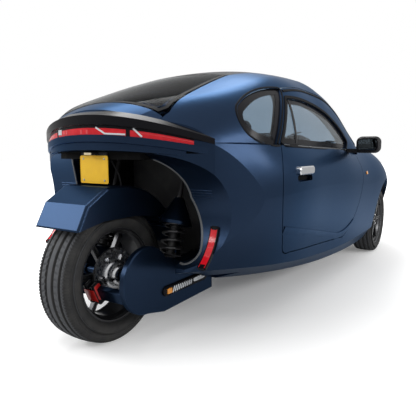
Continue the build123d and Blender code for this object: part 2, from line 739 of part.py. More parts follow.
def wheel_of(rim_radius, width, spoke_face, disc_offset, disc_radius, bore, x, y, z):
    """alloy wheel with its spokes on the right; the brake disc stands off the middle"""
    bead = width / 2 * bead_share
    axis = Axis((x, y, z), (0, 1, 0))
    disc_half = brake_disc_thickness / 2
    hub_left = max(disc_offset + disc_half, spoke_depth - spoke_face) + 6
    hub_right = min(disc_offset - disc_half, -spoke_face) - 5
    with BuildPart() as wheel:
        with BuildSketch(axle_plane(x, y, z)):
            Polygon(
                (-bead, rim_radius), (-bead, rim_radius - rim_wall),
                (-bead + 14, rim_radius - rim_wall - 4), (-bead + 26, rim_radius - rim_drop),
                (bead - 26, rim_radius - rim_drop), (bead - 14, rim_radius - rim_wall - 4),
                (bead, rim_radius - rim_wall), (bead, rim_radius), align=None)
        revolve(axis=axis)
        with BuildSketch(Plane.XZ.offset(-y + spoke_face - spoke_depth)):
            with Locations((x, z)):
                Circle(hub_radius + 8)
                with PolarLocations(0, spoke_pairs):
                    with Locations((0, 7), (0, -7)):
                        with Locations(((rim_radius - rim_drop + 3 + hub_radius) / 2, 0)):
                            Trapezoid(9, rim_radius - rim_drop + 3 - hub_radius, 90,
                                      rotation=90)
        extrude(amount=spoke_depth)
        with BuildSketch(axle_plane(x, y, z)):
            Polygon((hub_right, 0), (hub_right, hub_radius - 8), (hub_right + 10, hub_radius),
                    (hub_left, hub_radius), (hub_left, 0), align=None)
            Polygon((disc_offset - disc_half, hub_radius - 4),
                    (disc_offset - disc_half, disc_radius),
                    (disc_offset + disc_half, disc_radius),
                    (disc_offset + disc_half, hub_radius - 4), align=None)
        revolve(axis=axis)
        bore_start, bore_length = bore
        with BuildSketch(Plane.XZ.offset(-y + bore_start)):
            with Locations((x, z)):
                Circle(axle_radius + joint_gap)
        extrude(amount=bore_length, mode=Mode.SUBTRACT)
    return wheel.part


axle_radius = 14.0
rear_crown = 30.0
front_crown = 24.0
front_wheel_y = -front_track_half
spoke_face = 56.0
front_disc_offset = 26.0
front_disc_radius = 116.0
rear_disc_offset = -50.0
rear_disc_radius = 118.0

tyre_front_right = tyre_of(front_tyre_radius, front_rim_radius, front_tyre_width, front_crown,
                           front_axle_x, front_wheel_y, front_axle_z)
export(tyre_front_right, "tyre_front_right")
export(mirrored(tyre_front_right), "tyre_front_left")
wheel_front_right = wheel_of(front_rim_radius, front_tyre_width, spoke_face, front_disc_offset,
                             front_disc_radius, (-60, 100), front_axle_x, front_wheel_y,
                             front_axle_z)
export(wheel_front_right, "wheel_front_right")
export(mirrored(wheel_front_right), "wheel_front_left")
tyre_rear = tyre_of(rear_tyre_radius, rear_rim_radius, rear_tyre_width, rear_crown,
                    rear_axle_x, 0, rear_axle_z)
export(tyre_rear, "tyre_rear")
wheel_rear = wheel_of(rear_rim_radius, rear_tyre_width, 10, rear_disc_offset,
                      rear_disc_radius, (-200, 400), rear_axle_x, 0, rear_axle_z)
export(wheel_rear, "wheel_rear")

# ---- rear axle, swingarm, mudguard -----------------------------------------------------
arm_inner = 168.0
arm_plate = 222.0               # the outer plate of the arm starts here
arm_outer = 248.0
arm_disc_radius = 143.0
arm_boss_radius = 46.0
pivot_x = ahead(455)
pivot_z = 262.0
pivot_radius = 25.0
arm_edge = 5.0
stay_x = ahead(305)
stay_top = 478.0
arm_front_x = bulkhead_x - joint_gap
spacer_radius = 24.0
spacer_length = 60.0
shock_lean = radians(17.2)      # tops of the shock absorbers lean forward
arm_seat_x = (ahead(110), ahead(260))
arm_seat_z = 380.0
arm_seat_drop = (arm_seat_x[1] - arm_seat_x[0]) * tan(shock_lean)
arm_top = [(arm_front_x, 330), (arm_seat_x[1], arm_seat_z - arm_seat_drop),
           (arm_seat_x[0], arm_seat_z)]

with BuildPart() as arm_right:
    with BuildSketch(Plane.XZ.offset(arm_plate)):
        with Locations((rear_axle_x, rear_axle_z)):
            Circle(arm_disc_radius)
        Polygon((rear_axle_x, rear_axle_z - arm_disc_radius), (ahead(110), 132),
                (arm_front_x, 140), *arm_top, (ahead(45), rear_axle_z + 130),
                (rear_axle_x, rear_axle_z), align=None)
    extrude(amount=arm_outer - arm_plate)
    chamfer(arm_right.faces().sort_by(Axis.Y)[0].edges(), arm_edge)
    with BuildSketch(Plane.XZ.offset(arm_inner)):
        with Locations((rear_axle_x, rear_axle_z)):
            Circle(arm_boss_radius)
        Polygon((ahead(110), 190), (arm_front_x, 190), *arm_top, align=None)
        Polygon((ahead(112), 240), (rear_axle_x, 268), (rear_axle_x, 332), (ahead(112), 345),
                align=None)
    extrude(amount=arm_plate - arm_inner)
    with BuildSketch(Plane.XZ.offset(arm_inner)):
        with Locations((stay_x, (310 + stay_top) / 2)):
            Rectangle(30, stay_top - 310)
    extrude(amount=8)
with BuildPart() as swingarm:
    add(arm_right.part)
    add(mirrored(arm_right.part))
    with BuildSketch(Plane.XZ.offset(-arm_inner - 5)):
        with Locations((pivot_x, pivot_z)):
            Circle(pivot_radius)
    extrude(amount=2 * arm_inner + 10)
    with BuildSketch(Plane.XZ.offset(-arm_inner)):
        with Locations((rear_axle_x, rear_axle_z)):
            Circle(axle_radius)
    extrude(amount=2 * arm_inner)
    for spacer_start in (-arm_inner, arm_inner - spacer_length):
        with BuildSketch(Plane.XZ.offset(spacer_start)):
            with Locations((rear_axle_x, rear_axle_z)):
                Circle(spacer_radius)
        extrude(amount=spacer_length)
export(swingarm.part, "swingarm")

# caliper over the rear disc, held by a bracket from the right arm
caliper_angle = 205.0
with BuildPart() as rear_caliper:
    with BuildSketch(Plane.XZ.offset(-rear_disc_offset - 34)):
        with Locations((rear_axle_x, rear_axle_z)):
            with Locations(Location((0, 0), caliper_angle)):
                with Locations((122, 0)):
                    RectangleRounded(48, 105, 12)
    extrude(amount=68)
    with BuildSketch(Plane.XZ.offset(-rear_disc_offset - brake_disc_thickness / 2 - 5)):
        with Locations((rear_axle_x, rear_axle_z)):
            Circle(rear_disc_radius + 6)
    extrude(amount=brake_disc_thickness + 10, mode=Mode.SUBTRACT)
    with BuildSketch(Plane.XZ.offset(-rear_disc_offset + 30)):
        with Locations((rear_axle_x, rear_axle_z)):
            with Locations(Location((0, 0), caliper_angle)):
                with Locations((118, 0)):
                    Rectangle(30, 60)
    extrude(amount=arm_plate + rear_disc_offset - 30)
export(rear_caliper.part, "rear_caliper")

guard_half = 130.0
guard_wall = 7.0
guard_round = 14.0
guard_arc = 385.0
guard_bar_radius = 8.0
guard_bar_z = 478.0


def guard_profile(draw_in, drop):
    """side view of the mudguard; drawn in for its inside, and dropped below its edges"""
    arc = guard_arc - draw_in
    top = 690 - draw_in
    front = (rear_axle_x + arc * cos(radians(12)), rear_axle_z + arc * sin(radians(12)))
    middle = (rear_axle_x + arc * cos(radians(48)), rear_axle_z + arc * sin(radians(48)))
    with BuildSketch() as sketch:
        with BuildLine():
            Polyline((ahead(-255) + draw_in, 530 - drop), (ahead(-254) + draw_in, 537),
                     (ahead(-205) + draw_in, 628 - draw_in / 2), (ahead(-100), top),
                     (ahead(-20), top))
            ThreePointArc((ahead(-20), top), middle, front)
            Polyline(front, (ahead(330), 378 - drop), (ahead(315), 470 - drop),
                     (ahead(215), 535 - drop), (ahead(60), 556 - drop), (ahead(-120), 556 - drop),
                     (ahead(-255) + draw_in, 530 - drop))
        make_face()
    return sketch.sketch


with BuildPart() as rear_mudguard:
    with BuildSketch(Plane.XZ.offset(-guard_half)):
        add(guard_profile(0, 0))
    extrude(amount=2 * guard_half)
    brow = rear_mudguard.edges().filter_by(lambda edge: abs(abs(edge.center().Y) - guard_half) < 1
                                           and edge.center().Z > 560)
    fillet(brow, guard_round)
    with BuildSketch(Plane.XZ.offset(-guard_half + guard_wall)):
        add(guard_profile(guard_wall, 60))
    extrude(amount=2 * (guard_half - guard_wall), mode=Mode.SUBTRACT)
    with BuildSketch(Plane.XZ.offset(-arm_inner)):
        with Locations((stay_x, guard_bar_z)):
            Circle(guard_bar_radius)
    extrude(amount=2 * arm_inner)
export(rear_mudguard.part, "rear_mudguard")

# lamp pods on the outer faces of the arms
pod_rear_x = ahead(92)
pod_front_x = ahead(434)
pod_z = 224.0
pod_height = 46.0
pod_proud = 12.0
with BuildPart() as pod_right:
    with BuildSketch(Plane.XZ.offset(arm_outer)):
        with Locations(((pod_rear_x + pod_front_x) / 2, pod_z)):
            SlotOverall(pod_front_x - pod_rear_x, pod_height)
    extrude(amount=pod_proud)
    chamfer(pod_right.faces().sort_by(Axis.Y)[0].edges(), 6)
export(pair(pod_right.part), "indicator_pods")

# ---- rear shock absorbers --------------------------------------------------------------
shock_y = -212.0
shock_foot_x = ahead(190)
shock_foot_z = arm_seat_z - (shock_foot_x - arm_seat_x[0]) * tan(shock_lean)
shock_length = (bay_top - shock_foot_z) / cos(shock_lean)
shroud_foot = 152.0             # along the shock absorber, from its foot
shroud_top = 276.0
shroud_radius = 76.0
shroud_neck = 22.0
shock_rod = 12.0
coil_radius = 50.0
coil_wire = 7.0
coil_turns = 4
shock_plane = Plane((shock_foot_x, shock_y, shock_foot_z),
                    x_dir=(cos(shock_lean), 0, -sin(shock_lean)), z_dir=(0, -1, 0))
shock_axis = Axis(shock_plane.origin, shock_plane.y_dir)
with BuildPart() as shock_right:
    with BuildSketch(shock_plane):
        Polygon((0, 0), (29, 0), (29, 10), (20, 16), (20, shroud_foot), (shock_rod, shroud_foot + 4),
                (shock_rod, shock_length + 20), (0, shock_length + 20), align=None)
    revolve(axis=shock_axis)
    for turn in range(coil_turns):
        height = 26 + turn * (shroud_foot - 32) / (coil_turns - 1)
        with BuildSketch(shock_plane):
            Polygon((14, height - 3), (coil_radius - 6, height - 3), (coil_radius, height - coil_wire),
                    (coil_radius + 4, height), (coil_radius, height + coil_wire),
                    (coil_radius - 6, height + 3), (14, height + 3), align=None)
        revolve(axis=shock_axis)
    add(block((ahead(0), bulkhead_x), (-half_width, 0), (bay_top, roof_height)),
        mode=Mode.SUBTRACT)
export(pair(shock_right.part), "rear_shocks")

with BuildPart() as shroud_right:
    with BuildSketch(shock_plane):
        Polygon((shock_rod + joint_gap, shroud_top), (shroud_neck, shroud_top),
                (shroud_radius, shroud_foot + 14), (shroud_radius, shroud_foot),
                (shroud_radius - 6, shroud_foot), (shroud_radius - 6, shroud_foot + 12),
                (shroud_neck - 4, shroud_top - 14), (shock_rod + joint_gap, shroud_top - 14),
                align=None)
    revolve(axis=shock_axis)
export(pair(shroud_right.part), "shock_shrouds")

# ---- floor, bulkhead, firewall, wheel bay liner ------------------------------------------
with BuildPart() as floor_pan:
    add(block((bulkhead_x, firewall_x + firewall_thickness), (-half_width, half_width),
              (0, sill_height)))
    add(lower_outer, mode=Mode.INTERSECT)
    add(lower_inner, mode=Mode.SUBTRACT)
export(floor_pan.part, "floor_pan")

lug_half = 22.0
lug_y = 128.0
with BuildPart() as rear_bulkhead:
    add(block((bulkhead_x, bulkhead_x + bulkhead_thickness), (-half_width, half_width),
              (0, bay_top + 30)))
    add(lower_inner, mode=Mode.INTERSECT)
    add(door_recesses, mode=Mode.SUBTRACT)
    for side in (1, -1):
        with BuildSketch(Plane.XZ.offset(side * lug_y - lug_half / 2)):
            Polygon((bulkhead_x, pivot_z - 36), (bulkhead_x, pivot_z + 60),
                    (pivot_x - 10, pivot_z + 38), (pivot_x - 36, pivot_z + 10),
                    (pivot_x - 36, pivot_z - 22), (pivot_x - 10, pivot_z - 36), align=None)
            with Locations((pivot_x, pivot_z)):
                Circle(pivot_radius + joint_gap, mode=Mode.SUBTRACT)
        extrude(amount=lug_half)

liner_rear_x = ahead(-38)       # the number plate's carrier stands against this edge
with BuildPart() as rear_liner:
    add(block((flange_front_x, bulkhead_x), (-half_width, half_width),
              (285, bay_top + trunk_floor)))
    add(block((liner_rear_x, flange_front_x), (-flange_inner, flange_inner),
              (bay_top, bay_top + trunk_floor)))
    add(block((liner_rear_x, ahead(0)), (-half_width, half_width),
              (bay_top + trunk_floor, 885)))
    add(lower_inner, mode=Mode.INTERSECT)
    add(wheel_bay.part, mode=Mode.SUBTRACT)
    add(behind_inner_arc.part, mode=Mode.SUBTRACT)
    add(door_recesses, mode=Mode.SUBTRACT)
export(rear_liner.part, "rear_liner")

with BuildPart() as firewall:
    add(block((firewall_x, firewall_x + firewall_thickness), (-half_width, half_width),
              (0, roof_height)))
    add(lower_inner, mode=Mode.INTERSECT)
export(Compound([rear_bulkhead.part, firewall.part]), "bulkheads")

# ---- number plate ------------------------------------------------------------------------
plate_width = 166.0
plate_height = 118.0
plate_foot_z = 698.0
plate_x = ahead(-46)
plate_thickness = 2.0
carrier_thickness = 8.0
plate_lamp_z = 829.0
with BuildPart() as number_plate:
    with Locations((plate_x, 0, plate_foot_z + plate_height / 2)):
        Box(plate_thickness, plate_width, plate_height, align=(Align.MAX, Align.CENTER, Align.CENTER))
    fillet(number_plate.edges().filter_by(Axis.X), 8)
export(number_plate.part, "number_plate")
with BuildPart() as plate_carrier:
    with Locations((plate_x, 0, plate_foot_z + 6)):
        Box(carrier_thickness, plate_width - 14, plate_lamp_z - plate_foot_z - 6,
            align=(Align.MIN, Align.CENTER, Align.MIN))
    with Locations((plate_x + carrier_thickness, 0, plate_lamp_z)):
        Box(42, 46, 10, align=(Align.MAX, Align.CENTER, Align.MAX))
export(plate_carrier.part, "plate_carrier")

# ---- seats, battery, dashboard, steering wheel -------------------------------------------
seat_y = 275.0
seat_width = 440.0
battery_top = 330.0
cushion_height = 110.0
with BuildPart() as battery_pack:
    add(block((ahead(640), ahead(1290)), (-500, 500), (0, battery_top)))
    add(lower_form(skin + joint_gap), mode=Mode.INTERSECT)
export(battery_pack.part, "battery_pack")

with BuildPart() as cushion_right:
    with Locations((ahead(720), -seat_y, battery_top + joint_gap)):
        Box(470, seat_width, cushion_height, align=(Align.MIN, Align.CENTER, Align.MIN))
    fillet(cushion_right.edges(), 30)
with BuildPart() as back_right:
    with BuildSketch(Plane.XZ.offset(seat_y - seat_width / 2)):
        Polygon((ahead(640), battery_top + joint_gap), (ahead(718), battery_top + joint_gap),
                (ahead(718), 450), (ahead(655), 1010), (ahead(575), 1010), (ahead(560), 960),
                align=None)
    extrude(amount=seat_width)
    fillet(back_right.edges().group_by(Axis.Z)[-1], 22)
export(Compound([cushion_right.part, back_right.part,
                 mirrored(cushion_right.part), mirrored(back_right.part)]), "seats")

with BuildPart() as dashboard:
    with BuildSketch(Plane.XZ.offset(-half_width)):
        Polygon((firewall_x - joint_gap, 560), (firewall_x - joint_gap, 880), (ahead(1900), 862),
                (ahead(1700), 838), (ahead(1625), 790), (ahead(1640), 690), (ahead(1760), 560),
                align=None)
    extrude(amount=2 * half_width)
    add(lower_form(door_depth + 8), mode=Mode.INTERSECT)
export(dashboard.part, "dashboard")

steer_wheel_radius = 175.0
steer_rim = 14.0
steer_centre = (ahead(1440), -seat_y, 790)
steer_plane = Plane(steer_centre, x_dir=(0, 1, 0), z_dir=(-cos(radians(28)), 0, sin(radians(28))))
column_length = 215.0
with BuildPart() as steering_wheel:
    with BuildSketch(Plane(steer_centre, x_dir=steer_plane.x_dir, z_dir=steer_plane.y_dir)):
        with Locations((steer_wheel_radius - steer_rim, 0)):
            Circle(steer_rim)
    revolve(axis=Axis(steer_centre, steer_plane.z_dir))
    with BuildSketch(steer_plane.offset(-18)):
        Circle(46)
        with PolarLocations(0, 3, start_angle=-90):
            with Locations(((steer_wheel_radius - 10) / 2, 0)):
                Rectangle(steer_wheel_radius - 16, 28)
    extrude(amount=20)
    with BuildSketch(steer_plane.offset(-18)):
        Circle(26)
    extrude(amount=-column_length)
    add(dashboard.part, mode=Mode.SUBTRACT)
wheel_and_column = steering_wheel.part.solids().sort_by(Axis.X)[0]
export(Part() + wheel_and_column, "steering_wheel")

# ---- front frame and suspension ----------------------------------------------------------
rail_y = 296.0
rail_width = 50.0
rail_z = 440.0
rail_height = 80.0
rail_front_x = past_front(385)
beam_depth = 34.0
firewall_front_x = firewall_x + firewall_thickness
with BuildPart() as front_frame:
    for side in (1, -1):
        with Locations(((firewall_front_x + rail_front_x) / 2, side * rail_y, rail_z)):
            Box(rail_front_x - firewall_front_x, rail_width, rail_height)
    with Locations((rail_front_x - beam_depth / 2, 0, rail_z)):
        Box(beam_depth, 2 * half_width, rail_height)
    with Locations((past_front(-40), 0, rail_z - 15)):
        Box(70, 2 * rail_y, rail_height - 30)
    add(nose_void, mode=Mode.INTERSECT)

subframe_foot = 168.0
subframe_top = 232.0
subframe_half = 285.0
rack_x = past_front(-112)
rack_z = 252.0
rack_radius = 8.0
rack_tube = 22.0
with BuildPart() as front_subframe:
    with Locations((past_front(0), 0, (subframe_foot + subframe_top) / 2)):
        Box(220, 2 * subframe_half - 20, subframe_top - subframe_foot)
        Box(90, 2 * subframe_half - 140, 200, mode=Mode.SUBTRACT)
    for side in (1, -1):
        with Locations((past_front(0), side * rail_y, 0)):
            with Locations((0, 0, subframe_foot)):
                Box(150, rail_width, rail_z - rail_height / 2 - subframe_foot,
                    align=(Align.CENTER, Align.CENTER, Align.MIN))
    with BuildSketch(Plane.XZ.offset(-240)):
        with Locations((rack_x, rack_z)):
            Circle(rack_tube)
    extrude(amount=480)
    with BuildSketch(Plane.XZ.offset(-half_width)):
        with Locations((rack_x, rack_z)):
            Circle(rack_radius + joint_gap)
    extrude(amount=2 * half_width, mode=Mode.SUBTRACT)

tie_end_y = 476.0
with BuildPart() as tie_rods:
    with BuildSketch(Plane.XZ.offset(-tie_end_y)):
        with Locations((rack_x, rack_z)):
            Circle(rack_radius)
    extrude(amount=2 * tie_end_y)
export(tie_rods.part, "tie_rods")

ball_y = 505.0
arm_foot_z = 184.0
strut_top_y = 412.0
strut_top_z = 700.0
strut_foot_z = 330.0
strut_foot_y = 438.0
arm_thickness = 22.0
with BuildPart() as arm_lower_right:
    with BuildSketch(Plane.XY.offset(arm_foot_z)):
        Polygon((past_front(-80), -rail_y - rail_width / 2 - joint_gap),
                (past_front(80), -rail_y - rail_width / 2 - joint_gap),
                (past_front(70), -rail_y - rail_width / 2 - 50), (past_front(24), -ball_y),
                (past_front(-24), -ball_y), (past_front(-70), -rail_y - rail_width / 2 - 50),
                align=None)
        with Locations((past_front(0), -ball_y)):
            Circle(24)
        Polygon((past_front(-30), -rail_y - rail_width / 2 - 40),
                (past_front(30), -rail_y - rail_width / 2 - 40), (past_front(0), -ball_y + 50),
                align=None, mode=Mode.SUBTRACT)
    extrude(amount=arm_thickness)
with BuildPart() as front_chassis:
    add(front_frame.part)
    add(front_subframe.part)
export(Compound([front_chassis.part, arm_lower_right.part, mirrored(arm_lower_right.part)]),
       "front_frame")

ball_radius = 12.0
ball_z = arm_foot_z + arm_thickness + joint_gap + ball_radius
carrier_inner = 480.0
carrier_outer = 526.0
carrier_radius = 42.0
steer_arm_y = (492.0, 522.0)
disc_middle = front_track_half - front_disc_offset
with BuildPart() as knuckle_right:
    with BuildSketch(Plane.XZ.offset(carrier_inner)):
        with Locations((front_axle_x, front_axle_z)):
            Circle(carrier_radius)
    extrude(amount=carrier_outer - carrier_inner)
    with BuildSketch(Plane.XZ.offset(carrier_inner)):
        with Locations((front_axle_x, front_axle_z)):
            Circle(axle_radius)
    extrude(amount=front_track_half + 30 - carrier_inner)
    with BuildSketch(Plane.XY.offset(ball_z)):
        with Locations((front_axle_x, -ball_y)):
            Circle(ball_radius - 3)
    extrude(amount=front_axle_z - ball_z)
    with Locations((front_axle_x, -ball_y, ball_z)):
        Sphere(ball_radius)
    with BuildSketch(Plane.XY.offset(rack_z - 12)):
        Polygon((front_axle_x, -steer_arm_y[1]), (rack_x - 14, -steer_arm_y[1]),
                (rack_x - 14, -steer_arm_y[0]), (front_axle_x, -steer_arm_y[0] + 8), align=None)
    extrude(amount=24)
    with BuildSketch(Plane.YZ.offset(front_axle_x - 22)):
        Polygon((-carrier_outer, 290), (-carrier_outer + 10, 306), (-strut_foot_y - 26, 420),
                (-strut_foot_y + 26, 420), (-strut_foot_y + 26, strut_foot_z),
                (-carrier_inner - 5, 240), align=None)
    extrude(amount=44)
    with BuildSketch(Plane.XZ.offset(disc_middle - 34)):
        with Locations((front_axle_x, front_axle_z)):
            with Locations(Location((0, 0), 20)):
                with Locations((122, 0)):
                    RectangleRounded(44, 100, 12)
    extrude(amount=64)
    with BuildSketch(Plane.XZ.offset(disc_middle - 50)):
        with Locations((front_axle_x, front_axle_z)):
            with Locations(Location((0, 0), 20)):
                with Locations((80, 0)):
                    Rectangle(120, 40)
    extrude(amount=22)
    with BuildSketch(Plane.XZ.offset(disc_middle - brake_disc_thickness / 2 - 5)):
        with Locations((front_axle_x, front_axle_z)):
            Circle(front_disc_radius + 6)
            Circle(axle_radius, mode=Mode.SUBTRACT)
    extrude(amount=brake_disc_thickness + 10, mode=Mode.SUBTRACT)

strut_seat_z = 350.0
strut_lean = Vector(0, strut_foot_y - strut_top_y, strut_top_z - strut_seat_z)
strut_length = strut_lean.length
strut_plane = Plane((front_axle_x, -strut_foot_y, strut_seat_z), x_dir=(1, 0, 0),
                    z_dir=(0, -strut_lean.Z, strut_lean.Y))
strut_axis = Axis((front_axle_x, -strut_foot_y, strut_seat_z), strut_lean)
strut_tube = 21.0
strut_rod = 10.0
strut_coil = 50.0
coil_foot = 155.0
coil_head = 325.0
front_coil_turns = 5
with BuildPart() as strut_right:
    with BuildSketch(strut_plane):
        Polygon((0, 0), (strut_tube, 0), (strut_tube, coil_foot - 8),
                (strut_coil + 6, coil_foot - 8), (strut_coil + 6, coil_foot - 4),
                (strut_tube, coil_foot - 2), (strut_tube, coil_head - 20),
                (strut_rod, coil_head - 12), (strut_rod, coil_head), (strut_coil, coil_head),
                (strut_coil, coil_head + 5), (strut_rod, coil_head + 8),
                (strut_rod, strut_length), (0, strut_length), align=None)
    revolve(axis=strut_axis)
    for turn in range(front_coil_turns):
        height = coil_foot + 10 + turn * (coil_head - coil_foot - 20) / (front_coil_turns - 1)
        with BuildSketch(strut_plane):
            Polygon((strut_rod - 2, height - 3), (strut_coil - 6, height - 3),
                    (strut_coil - 2, height - 6), (strut_coil + 3, height),
                    (strut_coil - 2, height + 6), (strut_coil - 6, height + 3),
                    (strut_rod - 2, height + 3), align=None)
        revolve(axis=strut_axis)
    with Locations((front_axle_x, -strut_top_y, strut_top_z)):
        Sphere(ball_radius)
with BuildPart() as front_leg_right:
    add(knuckle_right.part)
    add(strut_right.part)
export(front_leg_right.part, "knuckle_right")
export(mirrored(front_leg_right.part), "knuckle_left")

# ---- front wheel housings ------------------------------------------------------------------
housing_wall = 6.0
housing_inner_face = rail_y + rail_width / 2
tower_radius = 76.0
tower_y = -422.0
tower_ceiling = strut_top_z + ball_radius + joint_gap
with BuildPart() as housing_right:
    add(disc(front_well_inner, front_arch_radius + housing_wall, front_arch_radius, half_width,
             front_axle_x, front_axle_z))
    add(disc(housing_inner_face, front_arch_radius + housing_wall, 0,
             front_well_inner - housing_inner_face, front_axle_x, front_axle_z))
    with BuildSketch(Plane.XY.offset(front_axle_z + 200)):
        with Locations((front_axle_x, tower_y)):
            Circle(tower_radius)
    extrude(amount=tower_ceiling + housing_wall - front_axle_z - 200)
    with BuildSketch(Plane.XY.offset(front_axle_z)):
        with Locations((front_axle_x, tower_y)):
            Circle(tower_radius - housing_wall)
    extrude(amount=tower_ceiling - front_axle_z, mode=Mode.SUBTRACT)
    add(disc(front_well_inner, front_arch_radius, 0, half_width, front_axle_x, front_axle_z),
        mode=Mode.SUBTRACT)
    add(block((front_axle_x - half_width, front_axle_x + half_width), (-half_width, 0),
              (0, 300)), mode=Mode.SUBTRACT)
    add(lower_inner, mode=Mode.INTERSECT)
export(pair(housing_right.part), "wheel_housings")

# ---- door furniture --------------------------------------------------------------------------
handle_length = 190.0
handle_height = 40.0
handle_face = 686.0
with BuildPart() as handle_right:
    with BuildSketch(Plane.XZ.offset(620)):
        with Locations((grip_x, grip_z)):
            RectangleRounded(handle_length, handle_height, 16)
    extrude(amount=handle_face - 620)
    chamfer(handle_right.faces().sort_by(Axis.Y)[0].edges(), 5)
    add(lower_outer, mode=Mode.SUBTRACT)
export(handle_right.part, "door_handle_right")
export(mirrored(handle_right.part), "door_handle_left")

mirror_x = ahead(1545)
mirror_size = (84.0, 148.0, 104.0)
mirror_inner = 682.0
mirror_z = 875.0
with BuildPart() as mirror_right:
    with Locations((mirror_x, -mirror_inner, mirror_z)):
        Box(*mirror_size, align=(Align.CENTER, Align.MAX, Align.CENTER))
    fillet(mirror_right.edges(), 36)
    with Locations((mirror_x + 8, -mirror_inner - 40, mirror_z - 38)):
        Box(50, 140, 26, align=(Align.CENTER, Align.MIN, Align.CENTER))
    add(hull_outer.part, mode=Mode.SUBTRACT)
mirror_solid = mirror_right.part.solids().sort_by(Axis.Y)[0]
export(Part() + mirror_solid, "door_mirror_right")
export(mirrored(Part() + mirror_solid), "door_mirror_left")
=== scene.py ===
"""Three-wheeled city car: finishes, lamps, tyres, glass seals, seats and studio."""
import json

import bmesh
import bpy
import numpy as np
from bpy.props import BoolProperty, FloatProperty, FloatVectorProperty, IntProperty, PointerProperty
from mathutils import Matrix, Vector
from mathutils.bvhtree import BVHTree


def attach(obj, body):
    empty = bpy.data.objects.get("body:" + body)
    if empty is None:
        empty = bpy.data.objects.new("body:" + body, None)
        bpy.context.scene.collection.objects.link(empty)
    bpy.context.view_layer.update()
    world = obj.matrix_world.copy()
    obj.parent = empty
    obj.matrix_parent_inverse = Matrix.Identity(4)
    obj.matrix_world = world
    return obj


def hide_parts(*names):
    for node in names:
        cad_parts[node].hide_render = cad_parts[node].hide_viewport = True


bl_info = {
    "name": "Three-Wheeled City Car",
    "version": (1, 0, 0),
    "blender": (4, 5, 0),
    "location": "View3D > Sidebar > City Car",
    "description": "Builds the finishes and fine pieces of a small three-wheeled car",
    "category": "Object",
}

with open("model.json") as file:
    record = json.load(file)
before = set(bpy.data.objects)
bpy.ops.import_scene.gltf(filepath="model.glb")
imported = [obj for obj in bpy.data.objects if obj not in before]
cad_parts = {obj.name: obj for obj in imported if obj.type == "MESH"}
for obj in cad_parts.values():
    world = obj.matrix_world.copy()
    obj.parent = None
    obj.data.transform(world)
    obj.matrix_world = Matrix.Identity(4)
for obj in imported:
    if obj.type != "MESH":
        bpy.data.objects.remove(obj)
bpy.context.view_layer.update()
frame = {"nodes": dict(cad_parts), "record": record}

SIDES = {"right": -1, "left": 1}
FINISH = {}                     # materials by name, filled by the first operator
REAR_AXLE = (-1.390, 0.0, 0.300)
FRONT_AXLE = (1.090, 0.5675, 0.268)


def ahead(millimetres):
    """x of a point this many millimetres forward of the rear axle, in metres"""
    return REAR_AXLE[0] + np.asarray(millimetres, float) / 1000


# ---- properties ----------------------------------------------------------------------
class CarPaint(bpy.types.PropertyGroup):
    body: FloatVectorProperty(name="Body", description="Colour of the painted panels",
                              subtype="COLOR", size=3, min=0, max=1, default=(0.013, 0.025, 0.052))
    roof: FloatVectorProperty(name="Roof", description="Colour of the gloss roof panel",
                              subtype="COLOR", size=3, min=0, max=1, default=(0.012, 0.013, 0.016))
    plate: FloatVectorProperty(name="Plate", description="Colour of the blank plate",
                               subtype="COLOR", size=3, min=0, max=1, default=(0.95, 0.56, 0.010))
    caliper: FloatVectorProperty(name="Caliper", description="Colour of the rear brake caliper",
                                 subtype="COLOR", size=3, min=0, max=1,
                                 default=(0.55, 0.015, 0.012))
    seat: FloatVectorProperty(name="Seat cloth", description="Colour of the seats",
                              subtype="COLOR", size=3, min=0, max=1, default=(0.03, 0.03, 0.034))


class CarTyres(bpy.types.PropertyGroup):
    groove_depth: FloatProperty(name="Groove depth", description="Depth of the tread grooves",
                                subtype="DISTANCE", min=0, default=0.0075)
    blocks: IntProperty(name="Tread pitches", description="Number of tread blocks around a tyre",
                        min=20, max=120, default=70)


class CarTrim(bpy.types.PropertyGroup):
    seal_width: FloatProperty(name="Seal width", description="Width of the window seals",
                              subtype="DISTANCE", min=0.002, default=0.008)
    spring_turns: FloatProperty(name="Spring turns", description="Turns of a rear coil spring",
                                min=2, default=4.6)
    wheel_bolts: IntProperty(name="Wheel bolts", description="Bolts on each front wheel", min=3,
                             default=4)


class CarStage(bpy.types.PropertyGroup):
    lens: FloatProperty(name="Lens", description="Camera focal length in millimetres",
                        min=10, default=37.8)
    key: FloatProperty(name="Key light", description="Power of the overhead light",
                       subtype="POWER", min=0, default=150)
    side: FloatProperty(name="Side light", description="Power of the light on the right",
                        subtype="POWER", min=0, default=130)
    rear: FloatProperty(name="Rear light", description="Power of the light behind, on the left",
                        subtype="POWER", min=0, default=130)
    seats: BoolProperty(name="Soft seats", description="Settle the seats' padding by simulation",
                        default=True)


# ---- mesh helpers ----------------------------------------------------------------------
def grid_faces(rows, columns, wrap_rows=False, wrap_columns=False):
    """quads of a grid of points stored row by row; a wrapped direction joins its two ends"""
    row = np.arange(rows if wrap_rows else rows - 1)
    column = np.arange(columns if wrap_columns else columns - 1)
    r0, c0 = np.meshgrid(row, column, indexing="ij")
    r1, c1 = (r0 + 1) % rows, (c0 + 1) % columns
    corners = [r0 * columns + c0, r0 * columns + c1, r1 * columns + c1, r1 * columns + c0]
    return np.stack(corners, axis=-1).reshape(-1, 4)


